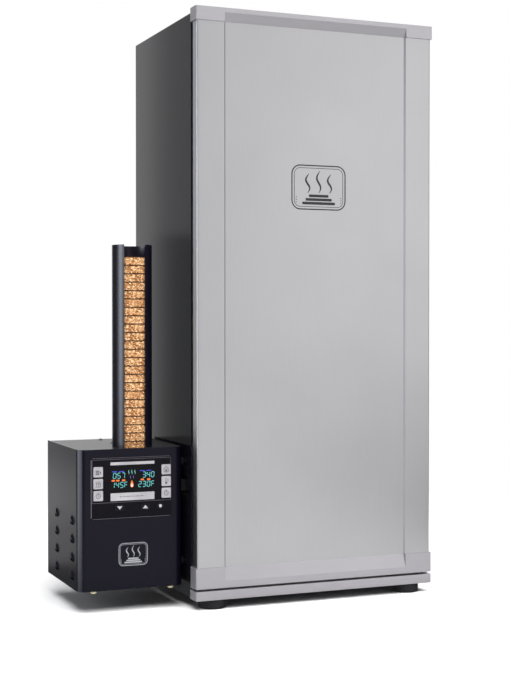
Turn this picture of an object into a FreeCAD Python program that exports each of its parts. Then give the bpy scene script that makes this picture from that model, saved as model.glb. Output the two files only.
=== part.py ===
import FreeCAD, Part
import math
import os
import re

import Sketcher

# Electric cabinet smoker, in millimetres.
#
# The row frame has its origin on the floor, under the middle of the whole object: +X to the right,
# +Y to the back and +Z up, with the door facing -Y.  Sizes are worked out in the door's own frame,
# x from the left end of the door's caps, y back from their front and z up from the floor, and
# door_left and door_front move them into the row frame.

DIMENSIONS = {
    "place in the row frame": {
        "door_left": -123.5, "door_front": -179.0,
    },
    "cabinet shell, liner and base": {
        "door_w": 432.0, "shell_inset": 1.8, "shell_front": 28.5, "shell_rear": 322.0,
        "shell_top": 966.9, "shell_low": 16.5, "sheet": 1.2, "shell_round": 1.5,
        "cavity_inset": 25.5, "cavity_rear": 300.0, "cavity_low": 90.0, "cavity_top": 928.0,
        "liner_sheet": 1.0, "pan_top": 32.0,
        "trim_top": 30.7, "trim_round": 2.0,
        "foot_r": 23.5, "foot_tall": 15.7, "foot_x": 37.6, "foot_front": 27.0, "foot_back": 295.0,
        "foot_edge": 1.6, "foot_bore": 7.0, "foot_bore_deep": 8.0,
    },
    "burner port through the cabinet's left wall": {
        "port_front": 55.0, "port_rear": 127.0, "port_low": 182.0, "port_top": 211.0,
    },
    "roof vent": {
        "vent_x": 216.0, "vent_y": 175.0, "vent_neck_r": 30.0, "vent_wall": 1.5, "vent_flange_r": 45.0,
        "vent_plate": 2.0, "vent_hole_r": 6.2, "vent_hole_out": 17.0, "vent_low": 926.0,
        "disc_r": 38.0, "disc_thick": 1.5, "vent_gap": 0.3, "knob_top": 990.0, "knob_r": 11.0,
        "knob_grip_r": 8.0, "knob_low": 4.0, "knob_waist": 3.0, "knob_edge": 2.0,
        "vent_pin_r": 3.0, "vent_bore_r": 3.06, "clip_thick": 1.5,
    },
    "door": {
        "cap_deep": 27.6, "cap_round": 2.0, "cap_back_round": 4.0, "cap_wall": 2.5, "cap_front_wall": 7.5,
        "cap_top_z": 951.0, "cap_top_tall": 22.0, "cap_low_z": 34.6, "cap_low_tall": 33.7,
        "skin_inset": 2.8, "skin_front": 2.0, "skin_rear": 21.0, "skin_sheet": 1.0, "skin_round": 2.2,
        "step_x": 50.0, "step_run": 2.5, "step_deep": 3.0, "recess_end": 0.67,
        "door_liner_sheet": 1.0, "emboss_x": 36.0, "emboss_z": 30.0, "emboss_deep": 3.5, "emboss_round": 8.0,
        "gasket_out": 9.0, "gasket_end": 4.0, "gasket_wide": 14.0, "gasket_deep": 7.2,
        "gasket_round": 10.0,
        "badge_x": 219.5, "badge_z": 689.5, "badge_w": 100.0, "badge_tall": 75.0,
        "badge_round": 13.0, "badge_thick": 0.4,
    },
    "door hinge": {
        "hinge_x": 426.5, "hinge_y": 16.0, "hinge_pin_r": 2.5, "hinge_bore_r": 2.55,
        "arm_half": 5.0, "arm_rear": 72.0, "arm_thick": 3.0, "pin_drop": 11.5,
        "notch_side": 8.0, "notch_front": 6.5, "notch_low": 966.3, "collar_r": 5.0, "low_pin_top": 46.0,
        "hinge_play": 0.3,
    },
    "inside the cavity": {
        "rail_sheet": 1.5, "ledge_wide": 12.0, "ledge_front": 40.0, "ledge_rear": 290.0,
        "rail_low": 245.0, "rail_top": 852.0, "post_wide": 15.0, "post_front": 60.0, "post_rear": 250.0,
        "tray_level": 262.0, "rack_low": 330.0, "rack_pitch": 100.0,
        "rack_side": 31.0, "rack_front": 46.0, "rack_rear": 286.0, "rack_rim_r": 2.0,
        "rack_wire_r": 1.2, "rack_wire_pitch": 15.0,
        "tray_sheet": 1.0, "tray_drop": 26.0, "tray_flange": 15.0, "tray_slot_wide": 6.0,
        "tray_slot_long": 22.0, "tray_slot_pitch": 35.0, "tray_play": 2.0,
        "bowl_left": 84.0, "bowl_w": 250.0, "bowl_front": 46.0, "bowl_d": 236.0, "bowl_tall": 58.0,
        "bowl_round": 18.0, "bowl_sheet": 1.2, "bowl_rim": 7.0,
        "heater_y": 283.0, "heater_z": 180.0, "heater_bend": 15.0, "heater_r": 4.0,
        "heater_left": 118.0, "heater_right": 318.0,
        "probe_x": 62.0, "probe_z": 580.0, "probe_r": 3.0, "probe_long": 38.0,
    },
    "rear of the cabinet": {
        "cover_left": 150.0, "cover_w": 132.0, "cover_low": 62.0, "cover_tall": 150.0,
        "cover_deep": 34.0, "cover_round": 4.0, "cover_sheet": 1.5,
        "inlet_x": 216.0, "inlet_z": 104.0,
        "socket_half_w": 13.8, "socket_half_tall": 9.8, "socket_deep": 20.0, "socket_plate": 2.0,
        "plate_half_w": 20.0, "plate_half_tall": 13.0, "plate_round": 4.0,
        "recess_half_w": 12.0, "recess_half_tall": 8.2, "recess_deep": 15.0,
        "blade_half_w": 1.0, "blade_half_tall": 2.0, "blade_gap": 7.0, "blade_long": 11.0,
    },
    "smoke generator box": {
        "gen_left": -182.6, "gen_right": -6.0, "gen_front": 43.0, "gen_rear": 241.5,
        "gen_low": 35.9, "gen_top": 262.7, "gen_sheet": 1.5, "gen_round": 14.0,
        "lid_drop": 0.9, "base_slot": 3.0, "gen_foot_r": 5.0, "gen_foot_tall": 4.0, "gen_foot_left": 27.0,
        "gen_foot_right": 20.0, "gen_foot_front": 9.0, "gen_foot_rear": 20.0,
        "louvre_front": 82.5, "louvre_rear": 180.0, "louvre_low": 53.2, "louvre_pitch": 29.7,
        "louvre_w": 32.0, "louvre_tall": 13.0, "louvre_out": 2.4, "louvre_slope": 55.0,
        "louvre_slot": 2.6, "louvre_slot_w": 22.0,
        "bolt_front": 70.0, "bolt_rear": 215.0, "bolt_low": 72.0, "bolt_top": 236.0, "bolt_r": 3.0,
        "gen_inlet_x": -62.0, "gen_inlet_z": 86.0,
        "lid_screw_x": -93.0, "lid_screw_front": 160.7, "lid_screw_rear": 228.0,
        "screw_r": 3.4, "screw_tall": 2.0, "screw_in": 14.0, "screw_corner": 10.0,
        "mark_x": -92.0, "mark_z": 92.2, "mark_w": 49.0, "mark_tall": 37.0, "mark_round": 7.0,
    },
    "feed tube and wood pucks": {
        "tube_x": -79.0, "tube_y": 90.0, "tube_r": 32.7, "tube_sheet": 1.8, "tube_low": 205.5,
        "tube_top": 591.7, "slot_w": 34.0, "slot_low": 256.0, "slot_turn": -8.0,
        "puck_r": 30.0, "puck_tall": 13.6, "puck_edge": 1.0, "puck_gap": 0.3, "puck_step": 61.0,
    },
    "puck deck, burner and pusher": {
        "deck_top": 190.2, "deck_sheet": 1.5, "deck_left": -178.0, "deck_right": 14.0,
        "fence_gap": 0.4, "fence_top": 205.0, "fence_rear_left": -30.0,
        "burner_w": 60.0, "burner_thick": 6.0, "burner_round": 6.0,
        "pusher_left": -172.0, "pusher_gap": 0.4, "pusher_tall": 12.6,
        "rack_bar_left": -177.0, "rack_bar_right": -93.0, "rack_bar_wide": 4.0, "rack_thick": 7.0,
        "rack_lift": 1.3, "gear_x": -104.0, "gear_r": 12.0, "gear_teeth": 16.0, "gear_addendum": 1.25,
        "gear_dedendum": 1.75, "gear_play": 0.3, "shaft_r": 3.0, "shaft_bore_r": 3.06,
        "shaft_low": 162.0, "motor_r": 23.0, "motor_low": 152.0, "motor_long": 62.0, "motor_w": 42.0,
    },
    "control panel": {
        "panel_left": -162.8, "panel_right": -26.8, "panel_low": 151.0, "panel_top": 249.0,
        "panel_front": 42.2, "panel_back": 46.5, "panel_lip": 1.2, "panel_round": 3.0,
        "window_left": -131.0, "window_right": -55.5, "window_low": 193.0, "window_top": 236.0,
        "window_front": 42.0,
        "key_w": 15.6, "key_tall": 16.2, "key_left_x": -150.5, "key_right_x": -36.3,
        "key_row": 19.0, "key_low_z": 188.7, "key_round": 1.6, "key_front": 41.7, "key_back": 46.8,
        "key_gap": 0.3, "key_flange": 0.8, "key_flange_thick": 0.8,
        "arrow_w": 15.0, "arrow_tall": 10.0, "arrow_z": 167.8, "down_x": -114.9, "up_x": -71.8,
        "power_x": -46.3, "power_r": 6.0,
        "board_front": 50.2, "board_thick": 1.6, "board_margin": 3.0, "post_r": 2.5,
        "post_out": 7.0, "post_down": 2.0, "relay_w": 18.0, "relay_tall": 14.0, "relay_deep": 3.0,
    },
}

doc = FreeCAD.newDocument("cabinet_smoker")
sheet = doc.addObject("Spreadsheet::Sheet", "Dims")


def fill_sheet():
    """One row for each driving dimension: its name in column A, its number and alias in column B."""
    row = 1
    for heading, numbers in DIMENSIONS.items():
        sheet.set(f"A{row}", heading)
        row += 1
        for alias, number in numbers.items():
            sheet.set(f"A{row}", alias)
            sheet.set(f"B{row}", str(number))
            sheet.setAlias(f"B{row}", alias)
            row += 1
    doc.recompute()


fill_sheet()
ALIASES = [alias for numbers in DIMENSIONS.values() for alias in numbers]
ALIAS_PATTERN = re.compile(r"\b(" + "|".join(sorted(ALIASES, key=len, reverse=True)) + r")\b")

probe = doc.addObject("App::FeaturePython", "Probe")
probe.addProperty("App::PropertyFloat", "Result")

UP = FreeCAD.Vector(0, 0, 1)
TURNS = {
    "X": FreeCAD.Rotation(FreeCAD.Vector(0, 1, 0), 90),
    "Y": FreeCAD.Rotation(FreeCAD.Vector(1, 0, 0), -90),
    "Z": FreeCAD.Rotation(),
}
PLANES = {"XY": 1, "XZ": -1, "YZ": 1}      # the way each origin plane's normal points along its axis
nodes = []


# ---------------------------------------------------------------- sheet formulas

def formula(source):
    """A sheet formula: every alias in the source is read from the Dims sheet."""
    return ALIAS_PATTERN.sub(r"Dims.\1", str(source))


def value(source):
    """The number that a formula gives now."""
    if not isinstance(source, str):
        return float(source)
    probe.setExpression("Result", formula(source))
    probe.recompute()
    return probe.Result


def bind(thing, prop, source):
    thing.setExpression(prop, formula(source))


def move(thing, corner):
    """Bind the placement to a point of the door's frame."""
    x, y, z = corner
    bind(thing, "Placement.Base.x", f"door_left + ({x})")
    bind(thing, "Placement.Base.y", f"door_front + ({y})")
    bind(thing, "Placement.Base.z", z)


def keep(thing, label):
    """Name a finished sub-part, which is one node of the object."""
    thing.Label = label
    nodes.append(thing)
    return thing


# ---------------------------------------------------------------- Part primitives and booleans

def box(corner, size):
    solid = doc.addObject("Part::Box", "Box")
    for prop, source in zip(("Length", "Width", "Height"), size):
        bind(solid, prop, source)
    move(solid, corner)
    return solid


def cylinder(centre, radius, length, axis="Z"):
    solid = doc.addObject("Part::Cylinder", "Cylinder")
    bind(solid, "Radius", radius)
    bind(solid, "Height", length)
    solid.Placement = FreeCAD.Placement(FreeCAD.Vector(), TURNS[axis])
    move(solid, centre)
    return solid


def fuse(solids):
    joined = doc.addObject("Part::MultiFuse", "Fusion")
    joined.Shapes = solids
    joined.Refine = True
    return joined


def cut(base, tools):
    result = doc.addObject("Part::Cut", "Cut")
    result.Base = base
    result.Tool = tools[0] if len(tools) == 1 else fuse(tools)
    return result


def compound(solids):
    """Separate solids that share one node."""
    group = doc.addObject("Part::Compound", "Group")
    group.Links = solids
    return group


def copy_at(source, corner, axis="Z"):
    """A pattern solid that was made at the origin, turned to an axis and set at a point."""
    twin = compound([source])
    twin.Placement = FreeCAD.Placement(FreeCAD.Vector(), TURNS[axis])
    move(twin, corner)
    return twin


def copy_above(source, height):
    """The same solid again, straight above where it is."""
    twin = compound([source])
    bind(twin, "Placement.Base.z", height)
    return twin


# ---------------------------------------------------------------- PartDesign features

def new_body(name, corner=(0, 0, 0)):
    """An empty body; one with no corner is a pattern solid, and stays at the origin."""
    body = doc.addObject("PartDesign::Body", name)
    body.AllowCompound = True
    if corner is not None:
        move(body, corner)
    return body


def sketch_on(body, plane, at):
    """A sketch parallel to one of the body's origin planes, at a height along that plane's axis."""
    sketch = body.newObject("Sketcher::SketchObject", f"{body.Name}_sketch")
    role = f"{plane}_Plane"
    support = next(item for item in body.Origin.OriginFeatures if item.Role == role)
    sketch.AttachmentSupport = [(support, "")]
    sketch.MapMode = "FlatFace"
    bind(sketch, "AttachmentOffset.Base.z", f"{PLANES[plane]} * ({at})")
    return sketch


def point_at(sketch, geometry, position, across, up):
    """Fix a point of the sketch, with both distances from the sketch's origin bound to the sheet."""
    for kind, source in (("DistanceX", across), ("DistanceY", up)):
        rule = sketch.addConstraint(Sketcher.Constraint(kind, -1, 1, geometry, position, value(source)))
        if isinstance(source, str):
            bind(sketch, f"Constraints[{rule}]", source)


def draw_outline(sketch, corners):
    """A closed outline.  A corner is (across, up), or (across, up, radius) at a right angle."""
    count = len(corners)
    spots = [FreeCAD.Vector(value(corner[0]), value(corner[1]), 0) for corner in corners]
    radii = [value(corner[2]) if len(corner) == 3 else 0.0 for corner in corners]
    leave = []
    arrive = []
    for index in range(count):
        back = (spots[index - 1] - spots[index]).normalize()
        ahead = (spots[(index + 1) % count] - spots[index]).normalize()
        arrive.append(spots[index] + back * radii[index])
        leave.append(spots[index] + ahead * radii[index])
    lines = []
    for index in range(count):
        segment = Part.LineSegment(leave[index], arrive[(index + 1) % count])
        lines.append(sketch.addGeometry(segment, False))
    for index in range(count):
        before = lines[index - 1]
        after = lines[index]
        if radii[index] == 0.0:
            sketch.addConstraint(Sketcher.Constraint("Coincident", before, 2, after, 1))
            point_at(sketch, after, 1, corners[index][0], corners[index][1])
            continue
        centre = arrive[index] + leave[index] - spots[index]
        ends = (arrive[index] - centre, leave[index] - centre)
        turns_left = ends[0].cross(ends[1]).z > 0
        start, stop = ends if turns_left else (ends[1], ends[0])
        circle = Part.Circle(centre, UP, radii[index])
        first = math.atan2(start.y, start.x)
        last = math.atan2(stop.y, stop.x)
        arc = sketch.addGeometry(Part.ArcOfCircle(circle, first, last), False)
        into, out = (1, 2) if turns_left else (2, 1)
        sketch.addConstraint(Sketcher.Constraint("Tangent", before, 2, arc, into))
        sketch.addConstraint(Sketcher.Constraint("Tangent", arc, out, after, 1))
        across, up, radius = corners[index]
        rule = sketch.addConstraint(Sketcher.Constraint("Radius", arc, radii[index]))
        bind(sketch, f"Constraints[{rule}]", radius)
        inward = centre - spots[index]
        point_at(sketch, arc, 3,
                 f"({across}) + {math.copysign(1, inward.x):.0f} * ({radius})",
                 f"({up}) + {math.copysign(1, inward.y):.0f} * ({radius})")


def draw_circle(sketch, across, up, radius):
    middle = FreeCAD.Vector(value(across), value(up), 0)
    ring = sketch.addGeometry(Part.Circle(middle, UP, value(radius)), False)
    rule = sketch.addConstraint(Sketcher.Constraint("Radius", ring, value(radius)))
    bind(sketch, f"Constraints[{rule}]", radius)
    point_at(sketch, ring, 3, across, up)


def rectangle(low, high, radius=None):
    """Corners of a rectangle between two opposite corners, all rounded alike or all sharp."""
    corners = [(low[0], low[1]), (high[0], low[1]), (high[0], high[1]), (low[0], high[1])]
    return corners if radius is None else [corner + (radius,) for corner in corners]


def pad(body, plane, at, length, outlines=(), circles=()):
    """Add material from a plane, along the plane's own axis."""
    sketch = sketch_on(body, plane, at)
    for corners in outlines:
        draw_outline(sketch, corners)
    for circle in circles:
        draw_circle(sketch, *circle)
    feature = body.newObject("PartDesign::Pad", f"{body.Name}_pad")
    feature.Profile = sketch
    bind(feature, "Length", length)
    feature.Reversed = PLANES[plane] < 0
    sketch.Visibility = False
    doc.recompute()
    return feature


def pocket(body, plane, at, length, outlines=(), circles=()):
    """Take material away from a plane, along the plane's own axis."""
    before = body.Shape.Volume
    sketch = sketch_on(body, plane, at)
    for corners in outlines:
        draw_outline(sketch, corners)
    for circle in circles:
        draw_circle(sketch, *circle)
    feature = body.newObject("PartDesign::Pocket", f"{body.Name}_pocket")
    feature.Profile = sketch
    bind(feature, "Length", length)
    feature.Reversed = PLANES[plane] > 0
    sketch.Visibility = False
    doc.recompute()
    if body.Shape.Volume >= before:
        raise RuntimeError(f"{feature.Name} takes nothing away")
    return feature


def revolve(body, corners):
    """A turned solid about the body's own Z axis, from a half profile of (radius, height)."""
    sketch = sketch_on(body, "XZ", 0)
    draw_outline(sketch, corners)
    feature = body.newObject("PartDesign::Revolution", f"{body.Name}_turned")
    feature.Profile = sketch
    feature.ReferenceAxis = (sketch, ["V_Axis"])
    feature.Angle = 360
    doc.recompute()
    return feature


def round_edges(body, radius, wanted):
    """Fillet the edges whose middle point the test accepts."""
    tip = body.Tip
    names = []
    for number, edge in enumerate(tip.Shape.Edges, start=1):
        middle = edge.valueAt((edge.FirstParameter + edge.LastParameter) / 2)
        if wanted(middle, edge):
            names.append(f"Edge{number}")
    feature = body.newObject("PartDesign::Fillet", f"{body.Name}_fillet")
    feature.Base = (tip, names)
    bind(feature, "Radius", radius)
    doc.recompute()
    return feature


def repeat(body, features, direction, count, span=None):
    """A linear pattern over a span, or a polar pattern over a full turn when there is no span."""
    kind = "PolarPattern" if span is None else "LinearPattern"
    pattern = body.newObject(f"PartDesign::{kind}", f"{body.Name}_{kind}")
    pattern.Originals = features
    if span is None:
        pattern.Axis = direction
        pattern.Angle = 360
    else:
        pattern.Direction = direction
        bind(pattern, "Length", span)
    pattern.Occurrences = count
    body.Tip = pattern
    doc.recompute()
    return pattern


# ---------------------------------------------------------------- cabinet

SHELL_LEFT = "shell_inset"
SHELL_RIGHT = "door_w - shell_inset"
WRAP_LEFT = "shell_inset + sheet"
WRAP_RIGHT = "door_w - shell_inset - sheet"
WRAP_TOP = "shell_top - sheet"
WRAP_REAR = "shell_rear - sheet"
CAVITY_RIGHT = "door_w - cavity_inset"
LINER_FRONT = "shell_front + liner_sheet"
PORT = rectangle(("port_front", "port_low"), ("port_rear", "port_top"))


def outer_shell():
    """Left side, top and right side folded from one sheet, with the burner port and the vent hole."""
    body = new_body("outer_shell")
    pad(body, "XZ", "shell_front", "shell_rear - shell_front", [[
        (SHELL_LEFT, "shell_low"), (SHELL_LEFT, "shell_top", "shell_round"),
        (SHELL_RIGHT, "shell_top", "shell_round"), (SHELL_RIGHT, "shell_low"),
        (WRAP_RIGHT, "shell_low"), (WRAP_RIGHT, WRAP_TOP),
        (WRAP_LEFT, WRAP_TOP), (WRAP_LEFT, "shell_low"),
    ]])
    pocket(body, "YZ", "0", "shell_inset + 2 * sheet", [PORT])
    pocket(body, "XY", "shell_top - 2 * sheet", "3 * sheet", circles=[("vent_x", "vent_y", "vent_neck_r")])
    keep(body, "outer_shell")


def back_panel():
    body = new_body("back_panel")
    pad(body, "XZ", WRAP_REAR, "sheet", [rectangle((WRAP_LEFT, "shell_low"), (WRAP_RIGHT, WRAP_TOP))])
    keep(body, "back_panel")


def inner_liner():
    """The lining of the smoking cavity: flat sheets that meet at the corners, and a flange of four strips
    that faces the door's gasket."""
    left = "cavity_inset - liner_sheet"
    low = "cavity_low - liner_sheet"
    wide = f"{CAVITY_RIGHT} - cavity_inset"
    tall = "cavity_top - cavity_low"
    deep = f"cavity_rear - ({LINER_FRONT})"
    side_size = ("liner_sheet", deep, f"{tall} + 2 * liner_sheet")
    port = box((left, "port_front", "port_low"),
               ("liner_sheet", "port_rear - port_front", "port_top - port_low"))
    vent = cylinder(("vent_x", "vent_y", "cavity_top"), "vent_neck_r", "liner_sheet")
    sheets = [
        cut(box((left, LINER_FRONT, low), side_size), [port]),
        box((CAVITY_RIGHT, LINER_FRONT, low), side_size),
        cut(box(("cavity_inset", LINER_FRONT, "cavity_top"), (wide, deep, "liner_sheet")), [vent]),
        box(("cavity_inset", LINER_FRONT, low), (wide, deep, "liner_sheet")),
        box((left, "cavity_rear", low),
            (f"{wide} + 2 * liner_sheet", "liner_sheet", f"{tall} + 2 * liner_sheet")),
    ]
    flange_wide = f"{WRAP_RIGHT} - ({WRAP_LEFT})"
    side_wide = f"cavity_inset - ({WRAP_LEFT})"
    strips = [
        box((WRAP_LEFT, "shell_front", "trim_top"), (flange_wide, "liner_sheet", "cavity_low - trim_top")),
        box((WRAP_LEFT, "shell_front", "cavity_top"),
            (flange_wide, "liner_sheet", f"{WRAP_TOP} - cavity_top")),
        box((WRAP_LEFT, "shell_front", "cavity_low"), (side_wide, "liner_sheet", tall)),
        box((CAVITY_RIGHT, "shell_front", "cavity_low"), (side_wide, "liner_sheet", tall)),
    ]
    keep(compound(sheets + strips), "inner_liner")


def wall_insulation():
    """Mineral wool between the shell and the liner."""
    wool = box((WRAP_LEFT, LINER_FRONT, "pan_top"),
               (f"{WRAP_RIGHT} - shell_inset - sheet", f"{WRAP_REAR} - shell_front - liner_sheet",
                f"{WRAP_TOP} - pan_top"))
    cavity = box(("cavity_inset - liner_sheet", "shell_front", "cavity_low - liner_sheet"),
                 ("door_w - 2 * cavity_inset + 2 * liner_sheet", "cavity_rear + liner_sheet - shell_front",
                  "cavity_top - cavity_low + 2 * liner_sheet"))
    port = box(("0", "port_front", "port_low"),
               ("cavity_inset", "port_rear - port_front", "port_top - port_low"))
    vent = cylinder(("vent_x", "vent_y", "cavity_top"), "vent_neck_r", "shell_top - cavity_top")
    keep(cut(wool, [cavity, port, vent]), "wall_insulation")


def base_pan():
    body = new_body("base_pan")
    pad(body, "XY", "foot_tall", "pan_top - foot_tall",
        [rectangle((WRAP_LEFT, LINER_FRONT), (WRAP_RIGHT, WRAP_REAR))])
    pocket(body, "XY", "foot_tall + sheet", "pan_top - foot_tall",
           [rectangle((f"{WRAP_LEFT} + sheet", f"{LINER_FRONT} + sheet"),
                      (f"{WRAP_RIGHT} - sheet", f"{WRAP_REAR} - sheet"))])
    keep(body, "base_pan")


def base_trim():
    """The bright channel under the door, open to the back, which carries the lower hinge pin."""
    body = new_body("base_trim")
    pad(body, "XY", "foot_tall", "trim_top - foot_tall", [[
        ("0", "0", "trim_round"), ("door_w", "0", "trim_round"),
        ("door_w", "shell_front"), ("0", "shell_front"),
    ]])
    pocket(body, "XZ", "sheet", "shell_front",
           [rectangle(("sheet", "foot_tall + sheet"), ("door_w - sheet", "trim_top - sheet"))])
    pocket(body, "XY", "trim_top - 2 * sheet", "3 * sheet", circles=[("hinge_x", "hinge_y", "hinge_pin_r")])
    keep(body, "base_trim")


def cabinet_feet():
    """Four round feet; each is turned, with a screw bore in its underside."""
    foot = new_body("foot", None)
    revolve(foot, [
        ("foot_bore", "0"), ("foot_r - foot_edge", "0"), ("foot_r", "foot_edge"),
        ("foot_r", "foot_tall"), ("0", "foot_tall"), ("0", "foot_bore_deep"),
        ("foot_bore", "foot_bore_deep"),
    ])
    places = [(x, y) for x in ("foot_x", "door_w - foot_x") for y in ("foot_front", "foot_back")]
    keep(compound([copy_at(foot, (x, y, "0")) for x, y in places]), "cabinet_feet")


def hinge_parts():
    """The upper arm with its pin, screwed to the roof, and the lower pin riveted into the trim."""
    arm = box(("hinge_x - arm_half", "hinge_y", "shell_top"),
              ("2 * arm_half", "arm_rear - hinge_y", "arm_thick"))
    nose = cylinder(("hinge_x", "hinge_y", "shell_top"), "arm_half", "arm_thick")
    pin = cylinder(("hinge_x", "hinge_y", "shell_top - pin_drop"), "hinge_pin_r", "pin_drop + arm_thick")
    head = cylinder(("hinge_x", "hinge_y", "shell_top + arm_thick"), "0.8 * arm_half", "0.4 * arm_thick")
    keep(fuse([arm, nose, pin, head]), "top_hinge_bracket")

    low_pin = new_body("bottom_hinge_pin", ("hinge_x", "hinge_y", "0"))
    revolve(low_pin, [
        ("0", "trim_top - 3 * sheet"), ("0.8 * collar_r", "trim_top - 3 * sheet"),
        ("0.8 * collar_r", "trim_top - sheet"), ("hinge_pin_r", "trim_top - sheet"),
        ("hinge_pin_r", "trim_top"), ("collar_r", "trim_top"), ("collar_r", "cap_low_z - hinge_play"),
        ("hinge_pin_r", "cap_low_z - hinge_play"), ("hinge_pin_r", "low_pin_top - 1"),
        ("hinge_pin_r - 1", "low_pin_top"), ("0", "low_pin_top"),
    ])
    keep(low_pin, "bottom_hinge_pin")


def vent_collar():
    """Flange and neck of the roof vent, with four smoke holes in its cover plate."""
    body = new_body("vent_collar", ("vent_x", "vent_y", "0"))
    pad(body, "XY", "shell_top", "vent_plate", circles=[("0", "0", "vent_flange_r")])
    pad(body, "XY", "vent_low", "shell_top - vent_low", circles=[("0", "0", "vent_neck_r")])
    pocket(body, "XY", "vent_low", "shell_top - vent_low", circles=[("0", "0", "vent_neck_r - vent_wall")])
    pocket(body, "XY", "shell_top", "vent_plate", circles=[("0", "0", "vent_bore_r")])
    hole = pocket(body, "XY", "shell_top", "vent_plate", circles=[("vent_hole_out", "0", "vent_hole_r")])
    repeat(body, [hole], (hole.Profile[0], ["N_Axis"]), 4)
    keep(body, "vent_collar")


def vent_damper():
    """The turning disc, its waisted knob and the clip that keeps them on the collar."""
    body = new_body("vent_damper", ("vent_x", "vent_y", "0"))
    low = "shell_top + vent_plate + vent_gap"
    top = f"{low} + disc_thick"
    clip = "shell_top - vent_gap"
    revolve(body, [
        ("0", f"{clip} - 2 * clip_thick"), ("vent_pin_r", f"{clip} - 2 * clip_thick"),
        ("vent_pin_r", f"{clip} - clip_thick"), ("2 * vent_pin_r", f"{clip} - clip_thick"),
        ("2 * vent_pin_r", clip), ("vent_pin_r", clip), ("vent_pin_r", low), ("disc_r", low),
        ("disc_r", top), ("knob_r", top), ("knob_grip_r", f"{top} + knob_low"),
        ("knob_grip_r", f"{top} + knob_low + knob_waist"),
        ("knob_r", f"{top} + 2 * knob_low + knob_waist"), ("knob_r", "knob_top - knob_edge"),
        ("knob_r - knob_edge", "knob_top"), ("0", "knob_top"),
    ])
    hole = pocket(body, "XY", low, "disc_thick", circles=[("vent_hole_out", "0", "vent_hole_r")])
    repeat(body, [hole], (hole.Profile[0], ["N_Axis"]), 4)
    keep(body, "vent_damper")


# ---------------------------------------------------------------- inside the cavity

def rack_rails():
    """Posts on each side wall, and the ledges spot-welded to them, for the drip tray and six racks."""
    levels = ["tray_level"] + [f"rack_low + {step} * rack_pitch" for step in range(6)]
    strips = []
    for post_x, ledge_x in (("cavity_inset", "cavity_inset + rail_sheet"),
                            (f"{CAVITY_RIGHT} - rail_sheet", f"{CAVITY_RIGHT} - ledge_wide")):
        strips += [box((post_x, y, "rail_low"), ("rail_sheet", "post_wide", "rail_top - rail_low"))
                   for y in ("post_front", "post_rear")]
        strips += [box((ledge_x, "ledge_front", f"{level} - rail_sheet"),
                       ("ledge_wide - rail_sheet", "ledge_rear - ledge_front", "rail_sheet"))
                   for level in levels]
    keep(compound(strips), "rack_rails")


def wire_racks():
    """Six alike: a rim of thick wire and fine wires across it from front to back."""
    span = "door_w - 2 * rack_side"
    reach = "rack_rear - rack_front"
    middle = "rack_low + rack_rim_r"
    wires = [cylinder(("rack_side", y, middle), "rack_rim_r", span, "X") for y in ("rack_front", "rack_rear")]
    wires += [cylinder((x, "rack_front", middle), "rack_rim_r", reach, "Y")
              for x in ("rack_side + rack_rim_r", "door_w - rack_side - rack_rim_r")]
    count = int(value(f"({span}) / rack_wire_pitch"))
    for step in range(1, count):
        x = f"door_w / 2 + ({step} - {count} / 2) * rack_wire_pitch"
        wires.append(cylinder((x, "rack_front", middle), "rack_wire_r", reach, "Y"))
    pattern = fuse(wires)
    pattern.Refine = False
    for step in range(6):
        keep(copy_above(pattern, f"{step} * rack_pitch"), f"wire_rack_{step + 1}")


def drip_tray():
    """A shallow V of sheet that drains through a row of slots into the bowl."""
    body = new_body("drip_tray")
    left = "cavity_inset + tray_play"
    right = f"{CAVITY_RIGHT} - tray_play"
    low = "tray_level - tray_drop"
    line = [(left, "tray_level"), (f"{left} + tray_flange", "tray_level"),
            ("door_w / 2 - tray_slot_wide", low), ("door_w / 2 + tray_slot_wide", low),
            (f"{right} - tray_flange", "tray_level"), (right, "tray_level")]
    lifted = [(x, f"{z} + tray_sheet") for x, z in reversed(line)]
    pad(body, "XZ", "rack_front", "rack_rear - rack_front", [line + lifted])
    first = "rack_front + tray_slot_long"
    slot = pocket(body, "XY", f"{low} - 1", "3 * tray_sheet",
                  [rectangle(("door_w / 2 - tray_slot_wide / 2", first),
                             ("door_w / 2 + tray_slot_wide / 2", f"{first} + tray_slot_long"))])
    repeat(body, [slot], (slot.Profile[0], ["V_Axis"]), 6, "5 * tray_slot_pitch")
    keep(body, "drip_tray")


def water_bowl():
    """A drawn bowl with round corners and a flat rim."""
    body = new_body("water_bowl", ("bowl_left", "bowl_front", "cavity_low"))
    pad(body, "XY", "0", "bowl_tall",
        [rectangle(("bowl_rim", "bowl_rim"), ("bowl_w - bowl_rim", "bowl_d - bowl_rim"), "bowl_round")])
    pad(body, "XY", "bowl_tall - bowl_sheet", "bowl_sheet",
        [rectangle(("0", "0"), ("bowl_w", "bowl_d"), "bowl_round + bowl_rim")])
    inner = "(bowl_rim + bowl_sheet)"
    pocket(body, "XY", "bowl_sheet", "bowl_tall",
           [rectangle((inner, inner), (f"bowl_w - {inner}", f"bowl_d - {inner}"), "bowl_round - bowl_sheet")])
    keep(body, "water_bowl")


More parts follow.
